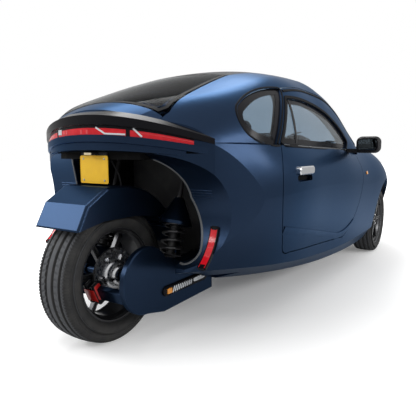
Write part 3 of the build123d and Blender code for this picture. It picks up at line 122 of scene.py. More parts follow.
def piece(name, shapes, finish, body="car_body", smooth=True, angle=40):
    """one object from a list of (points, faces) parts in a named finish, riding a body, with its
    normals outward and its edges sharp above an angle"""
    mesh = bpy.data.meshes.new(name)
    points, faces, start = [], [], 0
    for part_points, part_faces in shapes:
        part_points = np.asarray(part_points, float).reshape(-1, 3)
        points.append(part_points)
        faces += [[index + start for index in face] for face in
                  (part_faces.tolist() if isinstance(part_faces, np.ndarray) else part_faces)]
        start += len(part_points)
    mesh.from_pydata(np.concatenate(points).tolist(), [], faces)
    work = bmesh.new()
    work.from_mesh(mesh)
    bmesh.ops.remove_doubles(work, verts=work.verts, dist=1e-6)
    bmesh.ops.recalc_face_normals(work, faces=work.faces)
    work.to_mesh(mesh)
    work.free()
    mesh.materials.append(FINISH[finish])
    mesh.shade_smooth() if smooth else mesh.shade_flat()
    if smooth and angle:
        mesh.set_sharp_from_angle(angle=np.radians(angle))
    made = bpy.data.objects.new(name, mesh)
    bpy.context.scene.collection.objects.link(made)
    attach(made, body)
    return made


def swept(path, normals, profile, closed):
    """profile (across, out) carried along a path that lies on a surface: each point is
    path + across * (tangent x normal) + out * normal, and open ends are capped"""
    path, normals = np.asarray(path, float), np.asarray(normals, float)
    if closed:
        tangent = np.roll(path, -1, 0) - np.roll(path, 1, 0)
    else:
        tangent = np.gradient(path, axis=0)
    tangent /= np.linalg.norm(tangent, axis=1, keepdims=True)
    across = np.cross(tangent, normals)
    across /= np.linalg.norm(across, axis=1, keepdims=True)
    out = np.cross(across, tangent)
    profile = np.asarray(profile, float)
    points = (path[:, None] + profile[None, :, :1] * across[:, None]
              + profile[None, :, 1:] * out[:, None])
    faces = grid_faces(len(path), len(profile), closed, True).tolist()
    if not closed:
        count = len(profile)
        faces.append(list(range(count)))
        faces.append([(len(path) - 1) * count + i for i in reversed(range(count))])
    return points.reshape(-1, 3), faces


def round_profile(radius, sides=12):
    """circle as a closed profile"""
    turn = np.linspace(0, 2 * np.pi, sides, endpoint=False)
    return np.stack([radius * np.cos(turn), radius * np.sin(turn)], 1)


def strip_profile(width, low, high, ease=0.3):
    """flat strip with eased top corners, as a closed profile"""
    half = width / 2
    step = (high - low) * ease
    return [(-half, low), (half, low), (half, high - step), (half - step, high),
            (-half + step, high), (-half, high - step)]


def turned(profile, centre, axis="Y", segments=96):
    """closed profile of (radius, offset along the axis) turned about an axis through centre;
    a profile point of zero radius closes onto the axis"""
    profile = np.asarray(profile, float)
    turn = np.linspace(0, 2 * np.pi, segments, endpoint=False)
    radius, offset = profile[:, 0][None], profile[:, 1][None]
    c, s = np.cos(turn)[:, None] * radius, np.sin(turn)[:, None] * radius
    along = np.broadcast_to(offset, c.shape)
    order = {"X": (along, c, s), "Y": (c, along, s), "Z": (c, s, along)}[axis]
    return (np.stack(order, -1) + np.asarray(centre, float)).reshape(-1, 3), grid_faces(
        segments, len(profile), True, True)


def arc_points(start, middle, end, count=24):
    """points on the circle through three points of a plane"""
    (ax, ay), (bx, by), (cx, cy) = start, middle, end
    d = 2 * (ax * (by - cy) + bx * (cy - ay) + cx * (ay - by))
    a, b, c = ax**2 + ay**2, bx**2 + by**2, cx**2 + cy**2
    ux = (a * (by - cy) + b * (cy - ay) + c * (ay - by)) / d
    uy = (a * (cx - bx) + b * (ax - cx) + c * (bx - ax)) / d
    radius = np.hypot(ax - ux, ay - uy)
    first, mid, last = (np.arctan2(y - uy, x - ux) for x, y in (start, middle, end))
    span = (last - first) % (2 * np.pi)
    if (mid - first) % (2 * np.pi) > span:
        span -= 2 * np.pi
    turn = first + np.linspace(0, span, count)
    return np.stack([ux + radius * np.cos(turn), uy + radius * np.sin(turn)], 1)


def outline(steps, spacing):
    """closed outline from steps, each a corner or an arc of three points, evenly resampled"""
    points = np.concatenate([np.array([step], float) if np.ndim(step) == 1 else arc_points(*step)
                             for step in steps])
    keep = np.r_[True, np.linalg.norm(np.diff(points, axis=0), axis=1) > 1e-6]
    return resampled(points[keep], spacing, True)


def resampled(points, spacing, closed):
    """the same polyline with even steps of about the spacing"""
    if closed:
        points = np.concatenate([points, points[:1]])
    length = np.r_[0, np.cumsum(np.linalg.norm(np.diff(points, axis=0), axis=1))]
    count = max(4, int(round(length[-1] / spacing)))
    at = np.linspace(0, length[-1], count, endpoint=not closed)
    return np.stack([np.interp(at, length, points[:, k]) for k in range(points.shape[1])], 1)


def moved_out(points, amount):
    """closed flat outline moved along its own normals, outwards when amount is positive"""
    ahead_of = np.roll(points, -1, 0) - np.roll(points, 1, 0)
    normal = np.stack([ahead_of[:, 1], -ahead_of[:, 0]], 1)
    normal /= np.linalg.norm(normal, axis=1, keepdims=True)
    x, y = points.T
    area = np.sum(x * np.roll(y, -1) - y * np.roll(x, -1))
    return points + normal * amount * np.sign(area)


def tree_of(*nodes):
    """search tree of several CAD nodes together"""
    points, faces, start = [], [], 0
    for node in nodes:
        mesh = frame["nodes"][node].data
        points += [vertex.co.copy() for vertex in mesh.vertices]
        faces += [[index + start for index in face.vertices] for face in mesh.polygons]
        start = len(points)
    return BVHTree.FromPolygons(points, faces)


def onto(tree, points, direction, reach=3.0):
    """where lines through the points, run back along direction, first meet the surface;
    points that meet nothing are left out"""
    direction = Vector(direction)
    places, normals = [], []
    for point in points:
        place, normal, _, _ = tree.ray_cast(Vector(point) - direction * reach, direction)
        if place is not None:
            places.append(place[:])
            normals.append(normal[:] if normal.dot(direction) < 0 else (-normal)[:])
    return np.array(places), np.array(normals)


# ---- finishes --------------------------------------------------------------------------
class Finish:
    """a node material that is built up step by step from Object coordinates"""

    def __init__(self, name, colour, roughness, metallic=0.0, **sockets):
        self.material = bpy.data.materials.new(name)
        self.material.use_nodes = True
        self.tree = self.material.node_tree
        self.shader = self.tree.nodes["Principled BSDF"]
        self.shader.inputs["Base Color"].default_value = (*colour, 1)
        self.shader.inputs["Roughness"].default_value = roughness
        self.shader.inputs["Metallic"].default_value = metallic
        for socket, value in sockets.items():
            self.shader.inputs[socket.replace("_", " ")].default_value = value
        self.coordinates = self.tree.nodes.new("ShaderNodeTexCoord").outputs["Object"]

    def node(self, kind, **values):
        made = self.tree.nodes.new("ShaderNode" + kind)
        for key, value in values.items():
            setattr(made, key, value)
        return made

    def link(self, source, target):
        self.tree.links.new(source, target)

    def noise(self, scale, detail=3.0, stretch=(1, 1, 1)):
        """noise value over the object, stretched along its axes"""
        mapping = self.node("Mapping")
        mapping.inputs["Scale"].default_value = stretch
        self.link(self.coordinates, mapping.inputs["Vector"])
        made = self.node("TexNoise")
        made.inputs["Scale"].default_value = scale
        made.inputs["Detail"].default_value = detail
        self.link(mapping.outputs["Vector"], made.inputs["Vector"])
        return made.outputs["Fac"]

    def ramp(self, value, low, high, to_low=0.0, to_high=1.0):
        made = self.node("MapRange")
        for name, number in (("From Min", low), ("From Max", high), ("To Min", to_low),
                             ("To Max", to_high)):
            made.inputs[name].default_value = number
        self.link(value, made.inputs["Value"])
        return made.outputs["Result"]

    def tint(self, value, other, socket="Base Color", amount=1.0):
        """mixes another colour in where the value is high"""
        mix = self.node("Mix", data_type="RGBA")
        mix.inputs["B"].default_value = (*other, 1)
        target = self.shader.inputs[socket]
        if target.links:
            self.link(target.links[0].from_socket, mix.inputs["A"])
        else:
            mix.inputs["A"].default_value = target.default_value
        self.link(self.ramp(value, 0, 1, 0, amount), mix.inputs["Factor"])
        self.link(mix.outputs["Result"], target)
        return self

    def vary(self, socket, value, low, high):
        """runs a socket between two values"""
        self.link(self.ramp(value, 0.3, 0.7, low, high), self.shader.inputs[socket])
        return self

    def bump(self, value, distance, strength=1.0):
        made = self.node("Bump")
        made.inputs["Distance"].default_value = distance
        made.inputs["Strength"].default_value = strength
        self.link(value, made.inputs["Height"])
        normal = self.shader.inputs["Normal"]
        if normal.links:
            self.link(normal.links[0].from_socket, made.inputs["Normal"])
        self.link(made.outputs["Normal"], normal)
        return self

    def facing(self, axis, low, high):
        """1 where the surface faces along an axis of the object, either way"""
        source = self.node("TexCoord").outputs["Normal"]
        split = self.node("SeparateXYZ")
        self.link(source, split.inputs["Vector"])
        size = self.node("Math", operation="ABSOLUTE")
        self.link(split.outputs[axis], size.inputs[0])
        return self.ramp(size.outputs[0], low, high)

    def dressed(self, steps):
        """applies (kind, noise settings, values) rows; a tint may narrow its noise first"""
        for kind, noise, *values in steps:
            value = self.noise(*noise)
            if kind == "tint":
                limits, other, amount = values
                self.tint(self.ramp(value, *limits) if limits else value, other, amount=amount)
            elif kind == "vary":
                self.vary("Roughness", value, *values)
            else:
                self.bump(value, *values)
        return self


def make_finishes(paint):
    """every finish of the car, by the record's slot names and a few of their variants"""
    rows = (
        ("body_paint", paint.body, 0.32, 0.9,
         dict(Coat_Weight=0.05, Coat_Roughness=0.15, Specular_IOR_Level=0.3,
              Specular_Tint=(0.50, 0.64, 0.88, 1)),
         [("tint", (900, 1), (0.45, 0.75), (0.030, 0.055, 0.105), 0.35),
          ("bump", (60, 2), 0.0002, 0.06)]),
        ("roof_gloss", paint.roof, 0.30, 0.0, dict(Specular_IOR_Level=0.025),
         [("vary", (3, 4), 0.26, 0.34)]),
        ("glass", (0.42, 0.50, 0.57), 0.015, 0.0, dict(Transmission_Weight=1.0, IOR=1.30),
         [("tint", (4, 3), (0.4, 0.7), (0.36, 0.45, 0.53), 0.4)]),
        ("dark_glass", (0.09, 0.105, 0.115), 0.015, 0.0,
         dict(Transmission_Weight=1.0, IOR=1.04),
         [("tint", (4, 3), (0.4, 0.7), (0.06, 0.075, 0.085), 0.4)]),
        ("dark_alloy", (0.045, 0.046, 0.05), 0.36, 0.75,
         dict(Coat_Weight=0.4, Coat_Roughness=0.1), [("bump", (300, 2), 0.0002, 0.15)]),
        ("machined_alloy", (0.62, 0.63, 0.65), 0.26, 1.0, {},
         [("vary", (80, 3, (1, 0.05, 1)), 0.22, 0.34)]),
        ("black_plastic", (0.014, 0.014, 0.016), 0.50, 0.0, dict(Specular_IOR_Level=0.25),
         [("vary", (25, 4), 0.48, 0.64), ("bump", (700, 2), 0.0003, 0.4)]),
        ("gloss_black", (0.006, 0.006, 0.008), 0.20, 0.0,
         dict(Coat_Weight=0.03, Coat_Roughness=0.06, Specular_IOR_Level=0.10),
         [("bump", (120, 2), 0.0002, 0.08)]),
        ("red_lens", (0.66, 0.008, 0.018), 0.10, 0.0,
         dict(Coat_Weight=0.25, Coat_Roughness=0.02, Specular_IOR_Level=0.25),
         [("tint", (30, 3), (0.4, 0.7), (0.82, 0.02, 0.035), 0.6)]),
        ("amber_lens", (0.80, 0.27, 0.012), 0.14, 0.0,
         dict(Coat_Weight=0.8, Coat_Roughness=0.05),
         [("tint", (60, 2), None, (0.92, 0.45, 0.05), 0.35)]),
        ("clear_lens", (0.62, 0.65, 0.68), 0.10, 0.0,
         dict(Coat_Weight=1.0, Coat_Roughness=0.03, Specular_IOR_Level=0.7),
         [("tint", (45, 2), (0.45, 0.6), (0.25, 0.27, 0.30), 0.6)]),
        ("plate_yellow", paint.plate, 0.38, 0.0, dict(Specular_IOR_Level=0.5),
         [("tint", (22, 4), (0.45, 0.8), (0.70, 0.36, 0.01), 0.35),
          ("bump", (900, 1), 0.0002, 0.2)]),
        ("red_metal", paint.caliper, 0.35, 0.1, dict(Coat_Weight=0.5, Coat_Roughness=0.2),
         [("bump", (250, 3), 0.0004, 0.3)]),
        ("steel", (0.36, 0.36, 0.37), 0.36, 1.0, {},
         [("vary", (60, 4), 0.28, 0.48), ("tint", (18, 4), (0.5, 0.8), (0.20, 0.19, 0.18), 0.5)]),
        ("chrome", (0.72, 0.73, 0.75), 0.12, 1.0, {}, [("vary", (30, 3), 0.08, 0.18)]),
        ("chassis_black", (0.020, 0.020, 0.022), 0.48, 0.2, {},
         [("tint", (9, 5), (0.5, 0.85), (0.07, 0.065, 0.06), 0.6),
          ("bump", (220, 3), 0.0004, 0.3)]),
        ("battery_case", (0.20, 0.20, 0.21), 0.5, 0.7, {}, [("bump", (150, 3), 0.0004, 0.3)]),
        ("rubber_seal", (0.007, 0.007, 0.008), 0.6, 0.0, dict(Specular_IOR_Level=0.07),
         [("bump", (600, 2), 0.0002, 0.3)]),
        ("mirror_glass", (0.16, 0.19, 0.21), 0.02, 1.0, {}, [("vary", (20, 3), 0.01, 0.04)]),
        # near-black matte used as painted shade, in the rear wheel bay and the handle pockets
        ("shadow_black", (0.004, 0.004, 0.004), 0.9, 0.0, dict(Specular_IOR_Level=0.1),
         [("bump", (400, 2), 0.0003, 0.2)]),
        ("grip_leather", (0.016, 0.016, 0.017), 0.5, 0.0, dict(Specular_IOR_Level=0.4),
         [("bump", (380, 3), 0.0004, 0.4)]),
        ("satin_grey", (0.10, 0.105, 0.11), 0.42, 0.3, {}, [("vary", (40, 3), 0.36, 0.50)]),
        ("white_lens", (0.80, 0.83, 0.86), 0.12, 0.0,
         dict(Coat_Weight=1.0, Coat_Roughness=0.03),
         [("tint", (80, 2), None, (0.62, 0.66, 0.70), 0.4)]),
        ("bright_red", (0.80, 0.03, 0.045), 0.15, 0.0,
         dict(Coat_Weight=1.0, Coat_Roughness=0.03),
         [("tint", (60, 2), None, (0.90, 0.10, 0.10), 0.4)]),
        ("smoked_lens", (0.035, 0.038, 0.045), 0.05, 0.0,
         dict(Coat_Weight=1.0, Coat_Roughness=0.02, Specular_IOR_Level=0.8),
         [("tint", (30, 2), None, (0.06, 0.065, 0.08), 0.4)]),
        ("cream_lens", (0.72, 0.60, 0.36), 0.25, 0.0, dict(Coat_Weight=0.5),
         [("tint", (70, 2), None, (0.80, 0.70, 0.48), 0.4)]),
        ("spring_black", (0.014, 0.014, 0.016), 0.30, 0.2,
         dict(Coat_Weight=0.6, Coat_Roughness=0.1), [("bump", (200, 2), 0.0002, 0.15)]),
    )
    made = {name: Finish(name, colour, roughness, metallic, **sockets).dressed(steps)
            for name, colour, roughness, metallic, sockets, steps in rows}

    tyre = Finish("tyre", (0.022, 0.022, 0.023), 0.78, Specular_IOR_Level=0.35)
    tyre.tint(tyre.ramp(tyre.noise(14, 5), 0.4, 0.8), (0.06, 0.057, 0.052), amount=0.5)
    # painted highlight: the tread face, where the surface faces out from the axle, is tinted a
    # lighter grey that stands for the light falling on it
    tyre.tint(tyre.facing("Y", 0.55, 0.25), (0.105, 0.110, 0.120), amount=0.75)
    made["tyre"] = tyre.dressed([("vary", (40, 3), 0.68, 0.86), ("bump", (500, 2), 0.0003, 0.35)])

    cloth = Finish("trim_fabric", paint.seat, 0.9, Sheen_Weight=0.4, Sheen_Roughness=0.5)
    weave = cloth.node("TexWave", wave_type="BANDS", bands_direction="DIAGONAL")
    weave.inputs["Scale"].default_value = 260
    cloth.link(cloth.coordinates, weave.inputs["Vector"])
    cloth.bump(weave.outputs["Fac"], 0.0004, 0.5)
    made["trim_fabric"] = cloth.dressed([("tint", (120, 2), None, (0.06, 0.06, 0.07), 0.5)])
    return {name: finish.material for name, finish in made.items()}


class CAR_OT_finishes(bpy.types.Operator):
    """Make the finishes and put each CAD piece in its own"""
    bl_idname = "city_car.finishes"
    bl_label = "Finishes"

    def execute(self, context):
        FINISH.update(make_finishes(context.scene.car_paint))
        slots = {part["node"]: part["material_slot"] for part in frame["record"]["subparts"]}
        # the rear liner takes shadow_black, a near-black that paints the shade inside the rear
        # wheel bay
        variants = {"rear_glass": "dark_glass", "indicator_pods": "gloss_black",
                    "rear_liner": "shadow_black"}
        for node, made in frame["nodes"].items():
            made.data.materials.clear()
            made.data.materials.append(FINISH[variants.get(node, slots[node])])
        return {"FINISHED"}


# ---- tyres and wheels --------------------------------------------------------------------
REAR_TYRE = (0.300, 0.205, 0.185, 0.030)     # radius, rim radius, width, crown
FRONT_TYRE = (0.268, 0.199, 0.165, 0.024)


def tyre_surface(radius, rim, width, crown, centre, settings, hand):
    """turned tyre section whose crown is cut by grooves: radius = section radius - depth *
    groove(angle, offset), with four round grooves and slanting sipes between them; every sipe
    follows one line of points, since the angle itself is slanted with the offset"""
    half = width / 2
    bead = half * 0.80
    wall = (radius + rim) / 2
    shoulder = arc_points((half, wall), (half * 0.985, radius - crown * 1.6),
                          (half * 0.93, radius - crown), 8)
    side = np.concatenate([
        arc_points((bead, rim), (half * 0.985, rim + (wall - rim) * 0.45), (half, wall), 10),
        shoulder[1:],
        arc_points((half * 0.93, radius - crown), (half * 0.86, radius - crown * 0.45),
                   (half * 0.74, radius - crown * 0.18), 9)[1:]])
    top = arc_points((half * 0.74, radius - crown * 0.18), (0, radius),
                     (-half * 0.74, radius - crown * 0.18), 65)[1:-1]
    other = side[::-1] * (-1, 1)
    inside = np.array([(-bead + 0.004, rim + 0.006), (0, rim + 0.012), (bead - 0.004, rim + 0.006)])
    section = np.concatenate([side, top, other, inside])
    offset, out = section[:, 0], section[:, 1]
    pitch = 2 * np.pi / settings.blocks
    index = np.arange(settings.blocks * 6)[:, None]
    band = np.abs(offset / half)[None]
    reach = np.clip((out - radius + crown * 1.2) / (crown * 0.4), 0, 1)[None]
    turn = index * pitch / 6 + hand * 0.10 * np.clip(band, 0, 0.9) * reach
    tread = (out > radius - crown * 0.75)[None]
    groove = np.zeros((len(index), len(section)))
    for line, breadth in ((-0.60, 0.048), (-0.21, 0.058), (0.21, 0.058), (0.60, 0.048)):
        cut = np.clip(1.45 - np.abs(offset / half - line) / breadth, 0, 1)
        groove = np.maximum(groove, cut[None])
    sipe = np.where(index % 6 == 0, 0.75, 0) * ((band > 0.29) & (band < 0.50))
    sipe = sipe + np.where(index % 3 == 0, 0.55, 0) * (band > 0.68)
    groove = np.maximum(groove, sipe) * tread
    depth = settings.groove_depth * groove
    ribs = 0.0007 * np.clip(np.cos((out - rim) * 2 * np.pi / 0.011), 0, 1)[None] * (
        (out < wall + 0.016) & (out > rim + 0.016) & (np.abs(offset) > bead))[None]
    cos, sin = np.cos(turn), np.sin(turn)
    distance = out[None] - depth
    lateral = offset[None] + np.sign(offset)[None] * ribs
    lateral = np.broadcast_to(lateral, distance.shape)
    points = np.stack([cos * distance, lateral, sin * distance], -1)
    return (points + np.asarray(centre)).reshape(-1, 3), grid_faces(*distance.shape, True, True)


class CAR_OT_tyres(bpy.types.Operator):
    """Cut the road tread into the three tyres"""
    bl_idname = "city_car.tyres"
    bl_label = "Tyres"

    def execute(self, context):
        settings = context.scene.car_tyres
        rear = tyre_surface(*REAR_TYRE, REAR_AXLE, settings, 1)
        made = piece("rear_tyre_tread", [rear], "tyre", "rear_wheel", angle=None)
        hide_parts("tyre_rear")
        for name, side in SIDES.items():
            centre = (FRONT_AXLE[0], side * FRONT_AXLE[1], FRONT_AXLE[2])
            front = tyre_surface(*FRONT_TYRE, centre, settings, side)
            made = piece(f"front_{name}_tyre_tread", [front], "tyre",
                         f"front_{name}_wheel", angle=None)
            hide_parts(f"tyre_front_{name}")
        return {"FINISHED"}


# ---- side views ----------------------------------------------------------------------------
DOOR_WINDOW = [(652, 1083), (530, 868), (1500, 852), (1525, 893),
               ((1525, 893), (1242, 1024), (947, 1080)), ((947, 1080), (800, 1088), (652, 1083))]
QUARTER_WINDOW = [(480, 863), (641, 1130), ((641, 1130), (455, 1100), (302, 1027)),
                  ((302, 1027), (268.6, 965.2), (306, 901)),
                  ((306, 901), (390.1, 868.8), (480, 863))]
DOOR_TOP = [((1782, 885), (1560, 1026), (1330, 1128)), ((1330, 1128), (990, 1162), (655, 1132))]


def flat_view(points):
    """millimetres ahead of the rear axle, and up or across, as places in metres"""
    points = np.asarray(points, float)
    return np.stack([ahead(points[:, 0]), points[:, 1] / 1000], 1)


def along_side(tree, points, side, profile, closed, lift=0.0):
    """profile swept along side-view points laid onto the surface of a side"""
    start = np.stack([points[:, 0], np.full(len(points), side * 0.2), points[:, 1]], 1)
    places, normals = onto(tree, start, (0, -side, 0))
    return swept(places + normals * lift, normals, profile, closed)


def from_above(tree, points, height=0.3):
    """plan points in metres laid onto a surface from above"""
    return onto(tree, np.column_stack([points, np.full(len(points), height)]), (0, 0, -1))


def rod(start, end, radius, sides=16):
    """straight round rod between two points"""
    start, end = np.asarray(start, float), np.asarray(end, float)
    normal = np.cross(end - start, (0.31, 0.57, 0.76))
    normal /= np.linalg.norm(normal)
    return swept([start, end], [normal, normal], round_profile(radius, sides), False)


def slab(low, high):
    """box between two corners"""
    low, high = np.asarray(low, float), np.asarray(high, float)
    at = np.array([[i, j, k] for i in (0, 1) for j in (0, 1) for k in (0, 1)])
    faces = [[0, 1, 3, 2], [4, 6, 7, 5], [0, 4, 5, 1], [2, 3, 7, 6], [0, 2, 6, 4], [1, 5, 7, 3]]
    return low + at * (high - low), faces


def rounded(half_across, half_up, power=0.4, count=72):
    """closed outline between an ellipse and a rectangle, as (across, up) points"""
    turn = np.linspace(0, 2 * np.pi, count, endpoint=False)
    c, s = np.cos(turn), np.sin(turn)
    return np.stack([half_across * np.sign(c) * np.abs(c) ** power,
                     half_up * np.sign(s) * np.abs(s) ** power], 1)


def stacked(centre, axis, layers):
    """solid through outlines of equal count: each layer is (outline, offset along the axis)"""
    rings = []
    for line, offset in layers:
        along = np.full(len(line), offset)
        order = {"X": (along, line[:, 0], line[:, 1]), "Y": (line[:, 0], along, line[:, 1]),
                 "Z": (line[:, 0], line[:, 1], along)}[axis]
        rings.append(np.stack(order, 1) + np.asarray(centre, float))
    count = len(rings[0])
    faces = grid_faces(len(rings), count, False, True).tolist()
    faces += [list(range(count)), list(range((len(rings) - 1) * count, len(rings) * count))]
    return np.concatenate(rings), faces


def bolt(centre, axis, direction, radius, height):
    """hexagon head with a washer under it, standing out along an axis"""
    start = -0.0006 * direction
    head = turned([(0, start), (radius, start), (radius, direction * height * 0.85),
                   (radius * 0.82, direction * height), (0, direction * height)], centre, axis, 6)
    washer = turned([(0, start), (radius * 1.35, start), (radius * 1.35, direction * height * 0.22),
                     (0, direction * height * 0.22)], centre, axis, 20)
    return [head, washer]


class CAR_OT_windows(bpy.types.Operator):
    """Lay the seals, black borders and divider bars of the windows"""
    bl_idname = "city_car.windows"
    bl_label = "Windows"

    def execute(self, context):
        width = context.scene.car_trim.seal_width
        door_line = flat_view(outline(DOOR_WINDOW, 10))
        quarter_line = flat_view(outline(QUARTER_WINDOW, 10))
        top = np.concatenate([arc_points(*run) for run in DOOR_TOP])
        top = flat_view(resampled(top, 12, False))
        for name, side in SIDES.items():
            door, glass = tree_of(f"door_{name}"), tree_of(f"door_glass_{name}")
            body = f"{name}_door"
            seal = along_side(door, moved_out(door_line, width), side,
                              strip_profile(2 * width, -0.002, 0.0032), True)
            piece(f"{name}_window_seal", [seal], "rubber_seal", body)
            border = along_side(glass, moved_out(door_line, -0.014), side,
                                strip_profile(0.026, -0.0004, 0.0006), True)
            piece(f"{name}_window_border", [border], "gloss_black", body)
            line = along_side(door, top - (0, 0.012), side,
                              strip_profile(0.014, -0.002, 0.003), False)
            piece(f"{name}_drip_line", [line], "rubber_seal", body)
            bar = flat_view(resampled(np.array([(700, 872), (687, 1080)], float), 12, False))
            divider = along_side(glass, bar, side, strip_profile(0.019, -0.0005, 0.0028), False)
            sill = flat_view(resampled(np.array([(530, 861), (1500, 845)], float), 14, False))
            strip = along_side(door, sill, side, strip_profile(0.010, -0.002, 0.0045, 0.5), False)
            piece(f"{name}_window_bars", [divider], "black_plastic", body)
            piece(f"{name}_sill_strip", [strip], "satin_grey", body)
            quarter, sides = tree_of("quarter_windows"), tree_of("body_sides")
            shapes = [along_side(quarter, moved_out(quarter_line, -0.017), side,
                                 strip_profile(0.036, -0.0004, 0.0006), True)]
            piece(f"{name}_quarter_border", shapes, "gloss_black")
            shapes = [along_side(sides, moved_out(quarter_line, 0.005), side,
                                 strip_profile(0.009, -0.003, 0.0022), True)]
            piece(f"{name}_quarter_seal", shapes, "rubber_seal")

        plan = [(24, -292), (60, -318), ((60, -318), (330, -296), (585, -280)), (585, 280),
                ((585, 280), (330, 296), (60, 318)), (24, 292)]
        line = moved_out(flat_view(outline(plan, 14)), -0.011)
        places, normals = from_above(tree_of("rear_glass"), line, 0.4)
        border = swept(places, normals, strip_profile(0.018, -0.0004, 0.0006), True)
        piece("rear_glass_border", [border], "rubber_seal", "tailgate")
        screen = tree_of("windscreen")
        shapes = []
        for side in (-1, 1):
            edge = resampled(np.array([(1350, 425), (1800, 568), (2060, 568)], float), 15, False)
            places, normals = from_above(screen, flat_view(edge) * (1, side))
            shapes.append(swept(places, normals, strip_profile(0.030, -0.0004, 0.0006), False))
        edge = np.column_stack([np.full(60, ahead(1368)), np.linspace(-0.40, 0.40, 60)])
        places, normals = from_above(screen, edge)
        shapes.append(swept(places, normals, strip_profile(0.034, -0.0004, 0.0006), False))
        piece("windscreen_border", shapes, "gloss_black")
        return {"FINISHED"}


# ---- lamps -------------------------------------------------------------------------------
TAIL_CENTRE = ahead(571)
HOLLOW = (ahead(-84), 0.579, 0.257)


def tail_point(slope, height, radius=0.6635):
    """point on the tail lenses, at a slope of y over the distance behind the arc's centre"""
    turn = np.arctan(slope)
    return np.array([TAIL_CENTRE - radius * np.cos(turn), radius * np.sin(turn), height])


def tail_strip(ends, width, high, low=-0.002):
    """raised bar on the tail lenses between places (slope, height)"""
    line = resampled(np.asarray(ends, float), 0.01, False)
    places = np.array([tail_point(slope, height) for slope, height in line])
    normals = places - (TAIL_CENTRE, 0, 0)
    normals[:, 2] = 0
    normals /= np.linalg.norm(normals, axis=1, keepdims=True)
    return swept(places, normals, strip_profile(width, low, high), False)


def on_hollow(half, height, lift=0.0):
    """point on the hollow that frames the wheel bay, lifted towards its axis"""
    x, z, radius = HOLLOW
    out = np.sqrt(radius**2 - (height - z) ** 2)
    normal = -np.array([out, 0, height - z]) / radius
    return np.array([x + out, half, height]) + normal * lift, normal


def along_hollow(places, profile, lift=0.0):
    """profile swept along (half, height) places on that hollow"""
    path, normals = zip(*(on_hollow(half, height, lift) for half, height in places))
    return swept(path, normals, profile, False)


